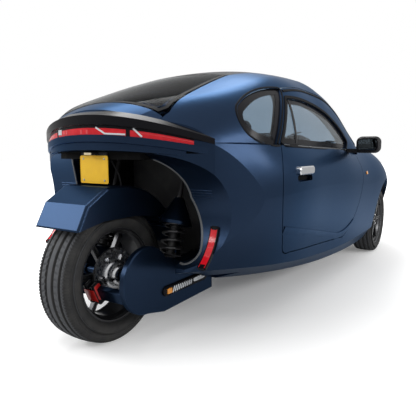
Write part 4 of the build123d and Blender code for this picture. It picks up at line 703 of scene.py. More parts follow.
class CAR_OT_lamps(bpy.types.Operator):
    """Fit the bars, ridges and inner parts of the lamps"""
    bl_idname = "city_car.lamps"
    bl_label = "Lamps"

    def execute(self, context):
        bars = [tail_strip(ends, 0.0075, 0.0016) for ends in (
            [(-0.095, 0.929), (-0.165, 0.903), (-0.312, 0.8985)],
            [(-0.368, 0.922), (-0.430, 0.889)])]
        piece("tail_light_bars", bars, "white_lens")
        ridges = []
        for slope in np.linspace(0.262, 0.306, 5):
            ridges.append(tail_strip([(slope, 0.926), (slope, 0.903)], 0.0060, 0.0022))
        piece("reversing_light", ridges, "white_lens")
        glow = [tail_strip([(-0.39, 0.9065), (-0.86, 0.868)], 0.0035, 0.0010),
                tail_strip([(0.39, 0.9065), (0.86, 0.868)], 0.0035, 0.0010)]
        glow += [tail_strip([(slope, 0.921), (slope, 0.904)], 0.011, 0.0008)
                 for slope in (-0.02, 0.03, 0.19, 0.225)]
        piece("tail_light_glow", glow, "bright_red")

        for name, side in SIDES.items():
            caps = [along_hollow([(side * 0.472, height) for height in np.linspace(*ends, 5)],
                                 strip_profile(0.030, -0.004, 0.009))
                    for ends in ((0.366, 0.379), (0.511, 0.527))]
            caps += [along_hollow([(side * edge, height)
                                   for height in np.linspace(0.369, 0.524, 16)],
                                  strip_profile(0.005, -0.004, 0.0092))
                     for edge in (0.4545, 0.4895)]
            piece(f"{name}_corner_lamp_frame", caps, "gloss_black")
            glass = [along_hollow([(side * y, height) for y in (0.459, 0.485)],
                                  strip_profile(0.002, -0.001, 0.0007), 0.008)
                     for height in (0.408, 0.440, 0.472)]
            piece(f"{name}_corner_lamp_lines", glass, "bright_red")

            face = side * 0.260
            amber = rounded(0.017, 0.012, 0.3)
            piece(f"{name}_indicator",
                  [stacked((ahead(128), face, 0.2245), "Y", [(amber, -side * 0.002),
                                                             (amber, side * 0.002),
                                                             (amber * 0.92, side * 0.0036)])],
                  "amber_lens", angle=30)
            ribs = []
            for x, tall in zip(np.arange(158, 300, 15.0), np.linspace(1, 0.75, 10)):
                ribs.append(swept([(ahead(x - 6 * tall), face, 0.2245 - 0.013 * tall),
                                   (ahead(x + 7 * tall), face, 0.2245 + 0.013 * tall)],
                                  [(0, side, 0)] * 2,
                                  strip_profile(0.0068, -0.001, 0.0026, 0.5), False))
            reflector = rounded(0.048, 0.010, 0.35)
            ribs.append(stacked((ahead(362), face, 0.2275), "Y",
                                [(reflector, -side * 0.002), (reflector, side * 0.001),
                                 (reflector * 0.92, side * 0.0022)]))
            piece(f"{name}_pod_ribs", ribs, "white_lens")

            wing = tree_of("front_wings")
            start = flat_view([(1858, 682), (1888, 684)])
            lamp = along_side(wing, resampled(start, 0.003, False), side,
                              strip_profile(0.022, -0.001, 0.0045, 0.4), False)
            piece(f"{name}_repeater", [lamp], "amber_lens")

            centre = np.array([0, side * 0.405, 0.600])
            lens = tree_of("headlamps")
            shapes, shine = [], []
            for offset, radius in ((-0.032, 0.026), (0.034, 0.020)):
                place, _ = onto(lens, [centre + (0, side * offset, 0)], (-1, 0, 0))
                middle = (place[0][0], centre[1] + side * offset, centre[2])
                ring = turned([(radius, -0.004), (radius, 0.0035), (radius - 0.003, 0.0045),
                               (radius - 0.005, 0.0035), (radius - 0.005, -0.004)],
                              middle, "X", 48)
                shine.append(ring)
                shapes.append(turned([(0, -0.004), (radius - 0.006, -0.004),
                                      (radius - 0.006, 0.0015), (radius * 0.5, 0.0045),
                                      (0, 0.0055)],
                                     middle, "X", 40))
            turn = np.linspace(0, 2 * np.pi, 90, endpoint=False)
            loop = np.column_stack([np.zeros(90), centre[1] + 0.0685 * np.cos(turn),
                                    centre[2] + 0.0395 * np.sin(turn)])
            places, normals = onto(lens, loop, (-1, 0, 0))
            light = swept(places, normals, strip_profile(0.0055, -0.002, 0.0016), True)
            piece(f"{name}_headlamp_ring", [light], "white_lens")
            piece(f"{name}_headlamp_rims", shine, "chrome")
            piece(f"{name}_headlamp_bulbs", shapes, "smoked_lens")

        low, high = np.array([-1.4705, -0.021, 0.8185]), np.array([-1.4425, 0.021, 0.8275])
        piece("plate_lamp", [slab(low, high)], "cream_lens", smooth=False)
        return {"FINISHED"}


# ---- rear springs --------------------------------------------------------------------------
SHOCK_LEAN = np.radians(17.2)
SHOCK_FOOT = np.array([ahead(190), 0.212, 0.380 - 0.080 * np.tan(SHOCK_LEAN)])


class CAR_OT_springs(bpy.types.Operator):
    """Wind the rear coil springs about their dampers"""
    bl_idname = "city_car.springs"
    bl_label = "Springs"

    def execute(self, context):
        turns = context.scene.car_trim.spring_turns
        axis = np.array([np.sin(SHOCK_LEAN), 0, np.cos(SHOCK_LEAN)])
        first = np.array([np.cos(SHOCK_LEAN), 0, -np.sin(SHOCK_LEAN)])
        second = np.array([0, 1, 0])
        coils, dampers, seats = [], [], []

        def lathe(profile, foot, segments=48):
            profile = np.asarray(profile, float)
            turn = np.linspace(0, 2 * np.pi, segments, endpoint=False)
            spoke = np.cos(turn)[:, None] * first + np.sin(turn)[:, None] * second
            points = foot + profile[None, :, :1] * spoke[:, None] + profile[None, :, 1:] * axis
            return points.reshape(-1, 3), grid_faces(segments, len(profile), True, True)

        for side in (-1, 1):
            foot = SHOCK_FOOT * (1, side, 1)
            turn = np.linspace(0, turns * 2 * np.pi, int(turns * 36))
            lift = 0.020 + 0.172 * turn / turn[-1]
            radius = 0.0465
            spoke = np.cos(turn)[:, None] * first + np.sin(turn)[:, None] * second
            path = foot + radius * spoke + lift[:, None] * axis
            coils.append(swept(path, spoke, round_profile(0.0066, 10), False))
            seats.append(lathe([(0, 0.0), (0.029, 0.0), (0.030, 0.008), (0.050, 0.011),
                                (0.053, 0.014), (0.050, 0.017), (0.026, 0.017), (0, 0.018)], foot))
            dampers.append(lathe([(0, 0.016), (0.019, 0.016), (0.020, 0.03), (0.020, 0.135),
                                  (0.022, 0.137), (0.022, 0.146), (0.012, 0.150), (0.0075, 0.152),
                                  (0.0075, 0.272), (0.0115, 0.274), (0.0115, 0.4648),
                                  (0, 0.4650)], foot))
        first_piece = piece("rear_springs", coils, "spring_black", angle=None)
        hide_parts("rear_shocks")
        piece("rear_spring_seats", seats, "chassis_black")
        piece("rear_dampers", dampers, "chassis_black")
        return {"FINISHED"}


# ---- wheels --------------------------------------------------------------------------------
class CAR_OT_wheels(bpy.types.Operator):
    """Face the front spokes, fit bolts, caps and valves, and dress the rear hub and brake"""
    bl_idname = "city_car.wheels"
    bl_label = "Wheels"

    def execute(self, context):
        bolts = context.scene.car_trim.wheel_bolts
        for name, side in SIDES.items():
            centre = np.array([FRONT_AXLE[0], side * FRONT_AXLE[1], FRONT_AXLE[2]])
            body = f"front_{name}_wheel"
            face = side * 0.056
            plates = []
            for turn in np.arange(6) * np.pi / 3:
                along = np.array([np.cos(turn), 0, np.sin(turn)])
                beside = np.array([-np.sin(turn), 0, np.cos(turn)])
                for offset in (-0.007, 0.007):
                    start = centre + (0, face, 0) + along * 0.047 + beside * offset
                    end = centre + (0, face, 0) + along * 0.176 + beside * offset
                    plates.append(swept([start, end], [(0, side, 0)] * 2,
                                        strip_profile(0.0072, -0.0006, 0.0012, 0.5), False))
            plates.append(turned([(0.1905, side * 0.0655), (0.1985, side * 0.0655),
                                  (0.1985, side * 0.0668), (0.1915, side * 0.0668)],
                                 centre, "Y", 128))
            piece(f"front_{name}_wheel_faces", plates, "satin_grey", body, angle=35)
            cap = turned([(0, side * 0.0605), (0.026, side * 0.0605), (0.026, side * 0.0635),
                          (0.021, side * 0.0655), (0, side * 0.0660)], centre, "Y", 48)
            valve = rod(centre + (0.150, side * 0.052, 0.105),
                        centre + (0.155, side * 0.064, 0.109), 0.0032, 10)
            piece(f"front_{name}_wheel_cap", [cap, valve], "gloss_black", body,
                  angle=35)
            heads = []
            for turn in np.arange(bolts) * 2 * np.pi / bolts + 0.26:
                place = centre + (0.0365 * np.cos(turn), face, 0.0365 * np.sin(turn))
                heads += bolt(place, "Y", side, 0.0046, 0.0050)
            piece(f"front_{name}_wheel_bolts", heads, "chrome", body, angle=35)

        centre = np.array(REAR_AXLE)
        shapes = [turned([(0.052, -0.0545), (0.1165, -0.0545), (0.1165, -0.0560),
                          (0.052, -0.0560)], centre, "Y", 128)]
        for ring, count in ((0.072, 14), (0.088, 18), (0.104, 22)):
            for turn in np.arange(count) * 2 * np.pi / count + ring * 20:
                place = centre + (ring * np.cos(turn), 0, ring * np.sin(turn))
                shapes.append(turned([(0.0026, -0.0556), (0.0042, -0.0556), (0.0042, -0.0564),
                                      (0.0026, -0.0564)], place, "Y", 10))
        piece("rear_brake_face", shapes, "machined_alloy", "rear_wheel", angle=35)
        hub = [turned([(0.029, -0.0560), (0.066, -0.0560), (0.068, -0.0600), (0.064, -0.0690),
                       (0.057, -0.0740), (0.050, -0.0755), (0.048, -0.0850), (0.043, -0.0960),
                       (0.036, -0.1010), (0.029, -0.1020)], centre, "Y", 72)]
        for turn in np.arange(6) * 2 * np.pi / 6:
            along = np.array([np.cos(turn), 0, np.sin(turn)])
            hub.append(swept([centre + along * 0.060 + (0, -0.062, 0),
                              centre + along * 0.088 + (0, -0.058, 0)], [(0, -1, 0)] * 2,
                             strip_profile(0.016, -0.004, 0.004, 0.4), False))
            hub += bolt(centre + along * 0.080 + (0, -0.062, 0), "Y", -1, 0.0052, 0.005)
        piece("rear_hub_carrier", hub, "machined_alloy", "rear_wheel", angle=35)

        turn = np.radians(205)
        outward = np.array([np.cos(turn), 0, np.sin(turn)])
        around = np.array([-np.sin(turn), 0, np.cos(turn)])

        def block(radial, across, half_radial, half_across, near, far, ease=0.006):
            """rounded block beside the disc, between two distances along Y from its middle"""
            line = rounded(half_radial, half_across, 0.3, 48)
            middle = centre + outward * radial + around * across
            layers = []
            for offset, shrink in ((near, ease), (near + np.sign(far - near) * ease, 0),
                                   (far - np.sign(far - near) * ease, 0), (far, ease)):
                scale = np.array([1 - shrink / half_radial, 1 - shrink / half_across])
                flat = line * scale
                layers.append(middle + (0, offset - 0.050, 0) + flat[:, :1] * outward
                              + flat[:, 1:] * around)
            faces = grid_faces(4, 48, False, True).tolist()
            faces += [list(range(48)), list(range(144, 192))]
            return np.concatenate(layers), faces

        halves = [block(0.122, 0, 0.023, 0.050, -0.034, -0.0095),
                  block(0.122, 0, 0.023, 0.050, 0.0095, 0.034),
                  block(0.1365, 0, 0.0085, 0.034, -0.012, 0.012, 0.002)]
        made = piece("rear_caliper_body", halves, "gloss_black", angle=50)
        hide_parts("rear_caliper")
        caps = [block(0.124, -0.010, 0.017, 0.036, -0.0345, -0.0315, 0.0012),
                block(0.146, 0, 0.0015, 0.030, -0.030, 0.030, 0.001)]
        caps += [block(0.121, offset, 0.0105, 0.0105, 0.0335, 0.0385, 0.001)
                 for offset in (-0.020, 0.020)]
        piece("rear_caliper_cover", caps, "red_metal", angle=50)
        piece("rear_caliper_bracket", [block(0.118, 0, 0.015, 0.030, -0.031, -0.1716, 0.003)],
              "body_paint", angle=50)
        rims = [turned([(0.1965, side * 0.0735), (0.2045, side * 0.0735),
                        (0.2045, side * 0.0750), (0.1975, side * 0.0750)], centre, "Y", 128)
                for side in (-1, 1)]
        piece("rear_rim_edges", rims, "dark_alloy", "rear_wheel", angle=35)
        return {"FINISHED"}


# ---- bay and body trim -----------------------------------------------------------------------
class CAR_OT_trim(bpy.types.Operator):
    """Fit the trim of the body: grey bay flange strips that paint the highlight on the arch edge,
    bay ribs, painted shade in the handle pockets, door folds, mirrors, plate screws, plate edge and
    cable, and wipers
    """
    bl_idname = "city_car.trim"
    bl_label = "Body trim"

    def execute(self, context):
        arch = np.concatenate([arc_points((352, 376), (404, 388), (421, 428), 14),
                               arc_points((421, 428), (391, 540), (345, 640), 24)[1:],
                               arc_points((345, 640), (309, 742), (240, 800), 20)[1:]])
        arch = resampled(arch / 1000, 0.008, False)
        for name, side in SIDES.items():
            # the flange strip's shape is real; its grey is a painted highlight of light along the
            # arch edge
            shape = along_hollow([(side * (half + 0.0065), height) for half, height in arch],
                                 strip_profile(0.011, -0.003, 0.0024, 0.5))
            piece(f"{name}_bay_flange_highlight", [shape], "satin_grey")
            ribs = []
            for height in (0.640, 0.651, 0.662, 0.673):
                low = 0.345 + (height - 0.640) * -0.35
                ribs.append(along_hollow([(side * half, height) for half
                                          in np.linspace(low + 0.018, 0.462, 8)],
                                         strip_profile(0.0035, -0.002, 0.0014, 0.5)))
            piece(f"{name}_bay_ribs", ribs, "body_paint")

            door = tree_of(f"door_{name}")
            # near-black strip on the floor of the handle pocket: painted shade in the recess
            pocket = resampled(np.array([(581, 708), (739, 708)], float), 8, False)
            floor = along_side(door, flat_view(pocket), side,
                               strip_profile(0.024, -0.001, 0.0015, 0.4), False)
            piece(f"{name}_grip_pocket_shade", [floor], "shadow_black", f"{name}_door")
            crease = resampled(np.array([(461, 495), (1253, 341)], float), 14, False)
            crease = np.concatenate([crease,
                                     arc_points((1253, 341), (1450, 350), (1637, 430), 30)[1:]])
            wedge = [(-0.034 * side, -0.0025), (0.006 * side, -0.0025), (0.006 * side, 0.0030),
                     (0.003 * side, 0.0044), (-0.034 * side, -0.0010)]
            fold = along_side(door, flat_view(crease), side, wedge, False)
            piece(f"{name}_door_fold", [fold], "body_paint", f"{name}_door",
                  angle=60)

            mirror = tree_of(f"door_mirror_{name}")
            centre = (float(ahead(1545)), side * 0.756, 0.875)
            bezel = stacked(centre, "X", [
                (rounded(0.063, 0.041), -0.030), (rounded(0.064, 0.042), -0.040),
                (rounded(0.061, 0.039), -0.0435), (rounded(0.057, 0.035), -0.0430),
                (rounded(0.056, 0.034), -0.0420)])
            piece(f"{name}_mirror_bezel", [bezel], "gloss_black", f"{name}_door",
                  angle=35)
            glass = stacked(centre, "X", [(rounded(0.0555, 0.0335), -0.0415),
                                          (rounded(0.0545, 0.0325), -0.0428)])
            piece(f"{name}_mirror_glass", [glass], "mirror_glass", f"{name}_door",
                  angle=35)
            line = np.column_stack([np.full(24, centre[0]), side * np.linspace(0.70, 0.815, 24),
                                    np.full(24, 0.885)])
            places, normals = onto(mirror, line, (-1, 0, 0))
            lamp = swept(places, normals, strip_profile(0.009, -0.001, 0.0022, 0.5), False)
            piece(f"{name}_mirror_repeater", [lamp], "amber_lens", f"{name}_door")

        screws = []
        for y in (-0.062, 0.062):
            for z in (0.712, 0.802):
                screws += bolt((ahead(-48), y, z), "X", -1, 0.0034, 0.0022)
        piece("plate_screws", screws, "steel", angle=35)
        rim = outline([(-78, 703), ((-78, 703), (-80, 700), (-77, 699)), (77, 699),
                       ((77, 699), (80, 700), (81, 703)), (81, 811), (77, 814), (-77, 814),
                       (-81, 811)], 6) / 1000
        path = np.column_stack([np.full(len(rim), float(ahead(-48))), rim])
        edge = swept(path, np.tile((-1.0, 0, 0), (len(path), 1)),
                     strip_profile(0.0016, -0.0005, 0.0009, 0.5), True)
        piece("plate_edge", [edge], "plate_yellow")
        cable = np.array([(ahead(-30), -0.085, 0.800), (ahead(-26), -0.100, 0.770),
                          (ahead(-20), -0.118, 0.735), (ahead(-15), -0.122, 0.700),
                          (ahead(-12), -0.118, 0.684)])
        cable = resampled(cable, 0.006, False)
        piece("plate_cable",
              [swept(cable, np.tile((-1.0, 0, 0), (len(cable), 1)),
                                    round_profile(0.0034, 10), False)],
              "rubber_seal", angle=None)

        screen, shapes = tree_of("windscreen", "cowl", "hood"), []
        for pivot, tip in (((2085, 320), (1930, -160)), ((2085, -60), (1925, -480))):
            line = resampled(np.array([pivot, tip], float), 20, False)
            places, normals = from_above(screen, flat_view(line))
            lift = np.linspace(0.014, 0.007, len(places))[:, None]
            shapes.append(swept(places + normals * lift, normals,
                                strip_profile(0.010, -0.004, 0.004), False))
            half = places[len(places) // 3:]
            normal = normals[len(places) // 3:]
            shapes.append(swept(half + normal * 0.0026, normal, strip_profile(0.004, -0.002, 0.003),
                                False))
            shapes.append(rod(places[0] - normals[0] * 0.010, places[0] + normals[0] * 0.020,
                              0.009))
        piece("wipers", shapes, "black_plastic")
        return {"FINISHED"}


# ---- seats and cabin ---------------------------------------------------------------------------
def cushion_shape(half, centre, lean=0.0, power=0.28, rings=40, around=72):
    """closed rounded block: x = a c(u) c(v), y = b s(u) c(v), z = h s(v), where c and s are
    cosine and sine raised to a power that keeps their sign; leaned back about the Y axis"""
    def bent(value, exponent):
        return np.sign(value) * np.abs(value) ** exponent

    v = np.linspace(-np.pi / 2, np.pi / 2, rings)[:, None]
    u = np.linspace(0, 2 * np.pi, around, endpoint=False)[None]
    x = half[0] * bent(np.cos(u), power) * bent(np.cos(v), power)
    y = half[1] * bent(np.sin(u), power) * bent(np.cos(v), power)
    z = half[2] * bent(np.sin(v), power) * np.ones_like(u)
    turned_x = x * np.cos(lean) - z * np.sin(lean)
    turned_z = x * np.sin(lean) + z * np.cos(lean)
    points = np.stack([turned_x, y, turned_z], -1) + np.asarray(centre)
    return points.reshape(-1, 3), grid_faces(rings, around, False, True)


def applied(made):
    """gives an object its evaluated mesh and takes its modifiers off"""
    graph = bpy.context.evaluated_depsgraph_get()
    mesh = bpy.data.meshes.new_from_object(made.evaluated_get(graph), depsgraph=graph)
    made.modifiers.clear()
    made.data = mesh
    mesh.shade_smooth()


def positions(mesh):
    """vertex places of a mesh as an array"""
    flat = np.empty(len(mesh.vertices) * 3)
    mesh.vertices.foreach_get("co", flat)
    return flat.reshape(-1, 3)


VOXEL = 0.006                   # size of the even mesh that is filled
PRESSURE = 4.0
FRAMES = 20


def filled(made, held, cap):
    """remeshes a closed pad evenly, lets pressure fill it like cloth while its seams are held,
    and limits how far any point moves"""
    remesh = made.modifiers.new("even", "REMESH")
    remesh.mode = "VOXEL"
    remesh.voxel_size = VOXEL
    applied(made)
    before = positions(made.data)
    group = made.vertex_groups.new(name="seams")
    for index, weight in enumerate(held(before)):
        if weight > 0:
            group.add([index], float(weight), "REPLACE")
    cloth = made.modifiers.new("filling", "CLOTH")
    cloth.settings.use_pressure = True
    cloth.settings.uniform_pressure_force = PRESSURE
    cloth.settings.vertex_group_mass = "seams"
    cloth.settings.effector_weights.gravity = 0
    cloth.settings.quality = 4
    cloth.point_cache.frame_start, cloth.point_cache.frame_end = 1, FRAMES
    for step in range(1, FRAMES + 1):
        bpy.context.scene.frame_set(step)
    applied(made)
    bpy.context.scene.frame_set(1)
    after = positions(made.data)
    move = after - before
    far = np.linalg.norm(move, axis=1, keepdims=True)
    after = before + move * np.minimum(1, cap / np.maximum(far, 1e-9))
    made.data.vertices.foreach_set("co", after.reshape(-1))
    made.vertex_groups.clear()
    made.data.update()


def finish_pad(made):
    """one level of subdivision"""
    rounder = made.modifiers.new("rounder", "SUBSURF")
    rounder.levels = rounder.render_levels = 1


SEAT_Y = 0.275
BACK_LEAN = np.radians(6.5)


def line_weights(distance, width=0.007):
    """1 on a seam, falling to 0 within a width"""
    return np.clip(1.6 - np.abs(distance) / width, 0, 1)


def cushion_seams(points):
    """seams of a cushion: two long channels, one across, and its foot"""
    x, y, z = points.T
    top = z > 0.385
    held = np.zeros(len(points))
    for offset in (-0.115, 0.115):
        held = np.maximum(held, line_weights(y + SEAT_Y - offset) * top)
    held = np.maximum(held, line_weights(x - float(ahead(1060))) * top
                      * (np.abs(y + SEAT_Y) < 0.115))
    return np.maximum(held, (z < 0.350) * 1.0)


def back_seams(points):
    """seams of a backrest: two long channels, three across between them, and its rear face"""
    x, y, z = points.T
    face = float(ahead(700)) - 0.114 * (z - 0.44)
    front = x > face - 0.040
    held = np.zeros(len(points))
    for offset in (-0.120, 0.120):
        held = np.maximum(held, line_weights(y + SEAT_Y - offset) * front)
    for height in (0.52, 0.62, 0.72):
        held = np.maximum(held, line_weights(z - height) * front * (np.abs(y + SEAT_Y) < 0.120))
    return np.maximum(held, (x < face - 0.085) * 1.0)


class CAR_OT_seats(bpy.types.Operator):
    """Make the padded seats: the right cushion and back are settled by a cloth simulation, the
    left ones mirror them, and the headrests keep their shape"""
    bl_idname = "city_car.seats"
    bl_label = "Seats"

    def execute(self, context):
        settle = context.scene.car_stage.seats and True
        pads = {
            "cushion": (cushion_shape((0.222, 0.203, 0.045), (ahead(958), -SEAT_Y, 0.384)),
                        cushion_seams, 0.014),
            "back": (cushion_shape((0.042, 0.203, 0.230), (ahead(652), -SEAT_Y, 0.600), BACK_LEAN),
                     back_seams, 0.016),
            "headrest": (cushion_shape((0.034, 0.125, 0.068), (ahead(608), -SEAT_Y, 0.920),
                                       BACK_LEAN, 0.45), lambda points: points[:, 0] * 0, 0.010),
        }
        for part, (shape, seams, cap) in pads.items():
            made = piece(f"right_seat_{part}", [shape], "trim_fabric", angle=None)
            if settle and part != "headrest":
                filled(made, seams, cap)
                made.data.materials.clear()
                made.data.materials.append(FINISH["trim_fabric"])
            points = positions(made.data) * (1, -1, 1)
            faces = [tuple(face.vertices) for face in made.data.polygons]
            twin = piece(f"left_seat_{part}", [(points, faces)], "trim_fabric",
                         angle=None)
            for pad in (made, twin):
                finish_pad(pad)
            if part == "cushion":
                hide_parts("seats")
        shells = []
        for side in (-1, 1):
            y = side * SEAT_Y
            shells.append(cushion_shape((0.230, 0.208, 0.014), (ahead(955), y, 0.346)))
            shells.append(cushion_shape((0.012, 0.200, 0.300), (ahead(604), y, 0.640), BACK_LEAN))
            for offset in (-0.045, 0.045):
                shells.append(rod((ahead(622), y + offset, 0.80), (ahead(611), y + offset, 0.90),
                                  0.006, 14))
            buckle = slab((ahead(850), y - side * 0.232 - 0.012, 0.400),
                          (ahead(885), y - side * 0.232 + 0.012, 0.452))
            shells.append(buckle)
        piece("seat_shells", shells, "black_plastic")
        return {"FINISHED"}


class CAR_OT_cabin(bpy.types.Operator):
    """Fit out the dashboard, steering wheel and floor of the cabin"""
    bl_idname = "city_car.cabin"
    bl_label = "Cabin"

    def execute(self, context):
        screen_low = np.array([ahead(1668), -0.105, 0.845])
        frame_box = slab(screen_low, screen_low + (0.016, 0.210, 0.125))
        foot = slab((ahead(1672), -0.03, 0.825), (ahead(1692), 0.03, 0.850))
        piece("centre_screen", [frame_box, foot], "gloss_black", smooth=False)
        face = slab(screen_low + (-0.0012, 0.008, 0.008), screen_low + (0.001, 0.202, 0.117))
        piece("screen_face", [face], "smoked_lens", smooth=False)
        vents = []
        for y in (-0.46, -0.17, 0.17, 0.46):
            for step in range(5):
                z = 0.765 + step * 0.012
                vents.append(slab((ahead(1626), y - 0.045, z), (ahead(1650), y + 0.045, z + 0.004)))
        piece("air_vents", vents, "satin_grey", smooth=False)
        tunnel = cushion_shape((0.300, 0.055, 0.045), (ahead(1560), 0, 0.30))
        knob = turned([(0, 0), (0.020, 0), (0.022, 0.012), (0.018, 0.024), (0, 0.026)],
                      (ahead(1440), 0, 0.342), "Z", 40)
        piece("gear_console", [tunnel, knob], "black_plastic", angle=None)
        lean = np.radians(28)
        centre = np.array([ahead(1440), -SEAT_Y, 0.790])
        back = np.array([-np.cos(lean), 0, np.sin(lean)])
        up = np.array([np.sin(lean), 0, np.cos(lean)])
        turn = np.linspace(0, 2 * np.pi, 120, endpoint=False)
        ring = centre + 0.161 * (np.cos(turn)[:, None] * np.array([0, 1, 0])
                                 + np.sin(turn)[:, None] * up)
        out = (ring - centre) / 0.161
        grip = swept(ring, out, round_profile(0.0146, 16), True)
        piece("steering_grip", [grip], "grip_leather", angle=None)
        pads = []
        for side in (-1, 1):
            middle = centre + np.array([0, side * 0.075, 0]) + back * 0.004
            pads.append(swept([middle - up * 0.010, middle + up * 0.010], [back, back],
                              strip_profile(0.045, -0.004, 0.004, 0.4), False))
        piece("steering_buttons", pads, "satin_grey")
        return {"FINISHED"}


# ---- front end -----------------------------------------------------------------------------------
class CAR_OT_front(bpy.types.Operator):
    """Fit the rim of the grille and the ring of the tow cover"""
    bl_idname = "city_car.front"
    bl_label = "Front end"

    def execute(self, context):
        bumper = tree_of("front_bumper")
        loop = outline([(-225, 350), ((-225, 350), (-222, 333), (-205, 330)), (205, 330),
                        ((205, 330), (222, 333), (225, 350)), (225, 420),
                        ((225, 420), (222, 437), (205, 440)), (-205, 440),
                        ((-205, 440), (-222, 437), (-225, 420))], 6) / 1000
        start = np.column_stack([np.zeros(len(loop)), loop])
        places, normals = onto(bumper, start, (-1, 0, 0))
        rim = swept(places, normals, strip_profile(0.010, -0.002, 0.003, 0.5), True)
        piece("grille_rim", [rim], "satin_grey")
        turn = np.linspace(0, 2 * np.pi, 60, endpoint=False)
        ring = np.column_stack([np.zeros(60), 0.30 + 0.026 * np.cos(turn) - 0.12,
                                0.475 + 0.026 * np.sin(turn)])
        places, normals = onto(bumper, ring, (-1, 0, 0))
        cover = [swept(places, normals, strip_profile(0.0022, -0.001, 0.0008), True)]
        piece("tow_cover_ring", cover, "rubber_seal")
        return {"FINISHED"}


# ---- stage -----------------------------------------------------------------------------
CAMERA_PLACE = Vector((-2.737, -1.408, 0.833))
CAMERA_YAW = 32.71
CAMERA_PITCH = -7.38
FLOOR_HALF = 30.0


def area_light(name, place, target, size, power):
    """rectangular soft light aimed at a point"""
    light = bpy.data.lights.new(name, "AREA")
    light.shape = "RECTANGLE"
    light.size, light.size_y = size
    light.energy = power
    made = bpy.data.objects.new(name, light)
    made.location = place
    made.rotation_euler = (Vector(target) - Vector(place)).to_track_quat("-Z", "Y").to_euler()
    bpy.context.scene.collection.objects.link(made)
    return made


def blended(tree, ray, other, value):
    """value for one kind of ray and other for the rest; each may be a number or a socket"""
    mix = tree.nodes.new("ShaderNodeMix")
    mix.data_type = "FLOAT"
    tree.links.new(tree.nodes.new("ShaderNodeLightPath").outputs[ray], mix.inputs["Factor"])
    for name, given in (("A", other), ("B", value)):
        if isinstance(given, float):
            mix.inputs[name].default_value = given
        else:
            tree.links.new(given, mix.inputs[name])
    return mix.outputs["Result"]


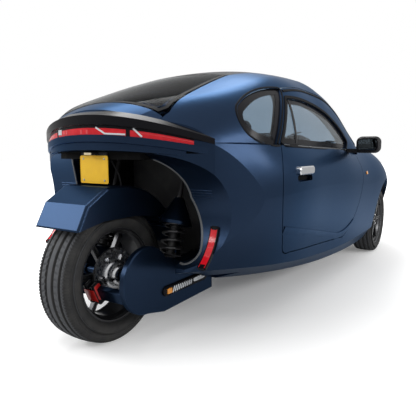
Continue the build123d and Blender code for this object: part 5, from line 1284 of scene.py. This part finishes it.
class CAR_OT_stage(bpy.types.Operator):
    """Make the floor, the world, the lights and the camera"""
    bl_idname = "city_car.stage"
    bl_label = "Stage"

    def execute(self, context):
        scene = context.scene
        settings = scene.car_stage
        scene.view_settings.view_transform = "Standard"

        world = bpy.data.worlds.new("studio")
        scene.world = world
        world.use_nodes = True
        tree = world.node_tree
        back = tree.nodes["Background"]
        back.inputs["Color"].default_value = (1, 1, 1, 1)
        split = tree.nodes.new("ShaderNodeSeparateXYZ")
        tree.links.new(tree.nodes.new("ShaderNodeTexCoord").outputs["Generated"],
                       split.inputs["Vector"])
        levels = []
        for low, high in ((0.30, 1.0), (0.50, 1.0)):
            sky = tree.nodes.new("ShaderNodeMapRange")
            for name, value in (("From Min", -0.05), ("From Max", 0.95), ("To Min", low),
                                ("To Max", high)):
                sky.inputs[name].default_value = value
            tree.links.new(split.outputs["Z"], sky.inputs["Value"])
            levels.append(sky.outputs["Result"])
        seen = blended(tree, "Is Glossy Ray", *levels)
        seen = blended(tree, "Is Transmission Ray", seen, 1.0)
        seen = blended(tree, "Is Camera Ray", seen, 1.0)
        tree.links.new(seen, back.inputs["Strength"])

        mesh = bpy.data.meshes.new("floor")
        mesh.from_pydata([(x * FLOOR_HALF, y * FLOOR_HALF, 0) for x, y in
                          ((-1, -1), (1, -1), (1, 1), (-1, 1))], [], [(0, 1, 2, 3)])
        floor = bpy.data.objects.new("floor", mesh)
        scene.collection.objects.link(floor)
        material = bpy.data.materials.new("floor_white")
        material.use_nodes = True
        tree = material.node_tree
        shader = tree.nodes["Principled BSDF"]
        shader.inputs["Roughness"].default_value = 0.9
        shader.inputs["Specular IOR Level"].default_value = 0.0
        shader.inputs["Emission Color"].default_value = (1, 1, 1, 1)
        far = tree.nodes.new("ShaderNodeVectorMath")
        far.operation = "LENGTH"
        tree.links.new(tree.nodes.new("ShaderNodeTexCoord").outputs["Object"], far.inputs[0])
        lift = tree.nodes.new("ShaderNodeMapRange")
        for name, value in (("From Min", 0.9), ("From Max", 4.2), ("To Min", 0.10),
                            ("To Max", 1.0)):
            lift.inputs[name].default_value = value
        tree.links.new(far.outputs["Value"], lift.inputs["Value"])
        for socket, values in (("Base Color", (0.42, 0.62, 0.90, 0.90)),
                               ("Emission Strength", (0.0, 0.0, lift.outputs["Result"],
                                                      lift.outputs["Result"]))):
            other, glossy, through, camera = values
            value = blended(tree, "Is Glossy Ray", other, glossy)
            value = blended(tree, "Is Transmission Ray", value, through)
            value = blended(tree, "Is Camera Ray", value, camera)
            tree.links.new(value, shader.inputs[socket])
        mesh.materials.append(material)

        area_light("key_light", (0.5, 1.4, 4.2), (0, 0, 0.6), (4.5, 1.8), settings.key)
        area_light("side_light", (0.0, -4.8, 2.3), (0, 0, 0.7), (5.0, 0.9), settings.side)
        area_light("rear_light", (-3.9, 3.6, 2.8), (-1.2, 0, 0.6), (3.6, 1.6), settings.rear)

        camera = bpy.data.cameras.new("camera")
        camera.lens = settings.lens
        camera.sensor_width = 36.0
        camera.clip_start = 0.02
        made = bpy.data.objects.new("camera", camera)
        made.location = CAMERA_PLACE
        yaw, pitch = np.radians(CAMERA_YAW), np.radians(CAMERA_PITCH)
        forward = Vector((np.cos(yaw) * np.cos(pitch), np.sin(yaw) * np.cos(pitch), np.sin(pitch)))
        made.rotation_euler = forward.to_track_quat("-Z", "Y").to_euler()
        scene.collection.objects.link(made)
        scene.camera = made
        return {"FINISHED"}


# ---- panel and registration --------------------------------------------------------------
GROUPS = (CarPaint, CarTyres, CarTrim, CarStage)
OPERATORS = (CAR_OT_finishes, CAR_OT_tyres, CAR_OT_wheels, CAR_OT_windows, CAR_OT_lamps,
             CAR_OT_springs, CAR_OT_trim, CAR_OT_cabin, CAR_OT_seats, CAR_OT_front,
             CAR_OT_stage)


class CAR_PT_panel(bpy.types.Panel):
    """Lists the steps that dress the car"""
    bl_label = "City Car"
    bl_idname = "CAR_PT_panel"
    bl_space_type = "VIEW_3D"
    bl_region_type = "UI"
    bl_category = "City Car"

    def draw(self, context):
        for operator in OPERATORS:
            self.layout.operator(operator.bl_idname)
        for group in ("car_paint", "car_tyres", "car_trim", "car_stage"):
            settings = getattr(context.scene, group)
            box = self.layout.box()
            for name in settings.__annotations__:
                box.prop(settings, name)


def register():
    for made in GROUPS + OPERATORS + (CAR_PT_panel,):
        bpy.utils.register_class(made)
    bpy.types.Scene.car_paint = PointerProperty(type=CarPaint)
    bpy.types.Scene.car_tyres = PointerProperty(type=CarTyres)
    bpy.types.Scene.car_trim = PointerProperty(type=CarTrim)
    bpy.types.Scene.car_stage = PointerProperty(type=CarStage)


def unregister():
    for name in ("car_paint", "car_tyres", "car_trim", "car_stage"):
        delattr(bpy.types.Scene, name)
    for made in reversed(GROUPS + OPERATORS + (CAR_PT_panel,)):
        bpy.utils.unregister_class(made)


def main():
    register()
    for operator in OPERATORS:
        group, name = operator.bl_idname.split(".")
        getattr(getattr(bpy.ops, group), name)()


if __name__ == "__main__":
    main()
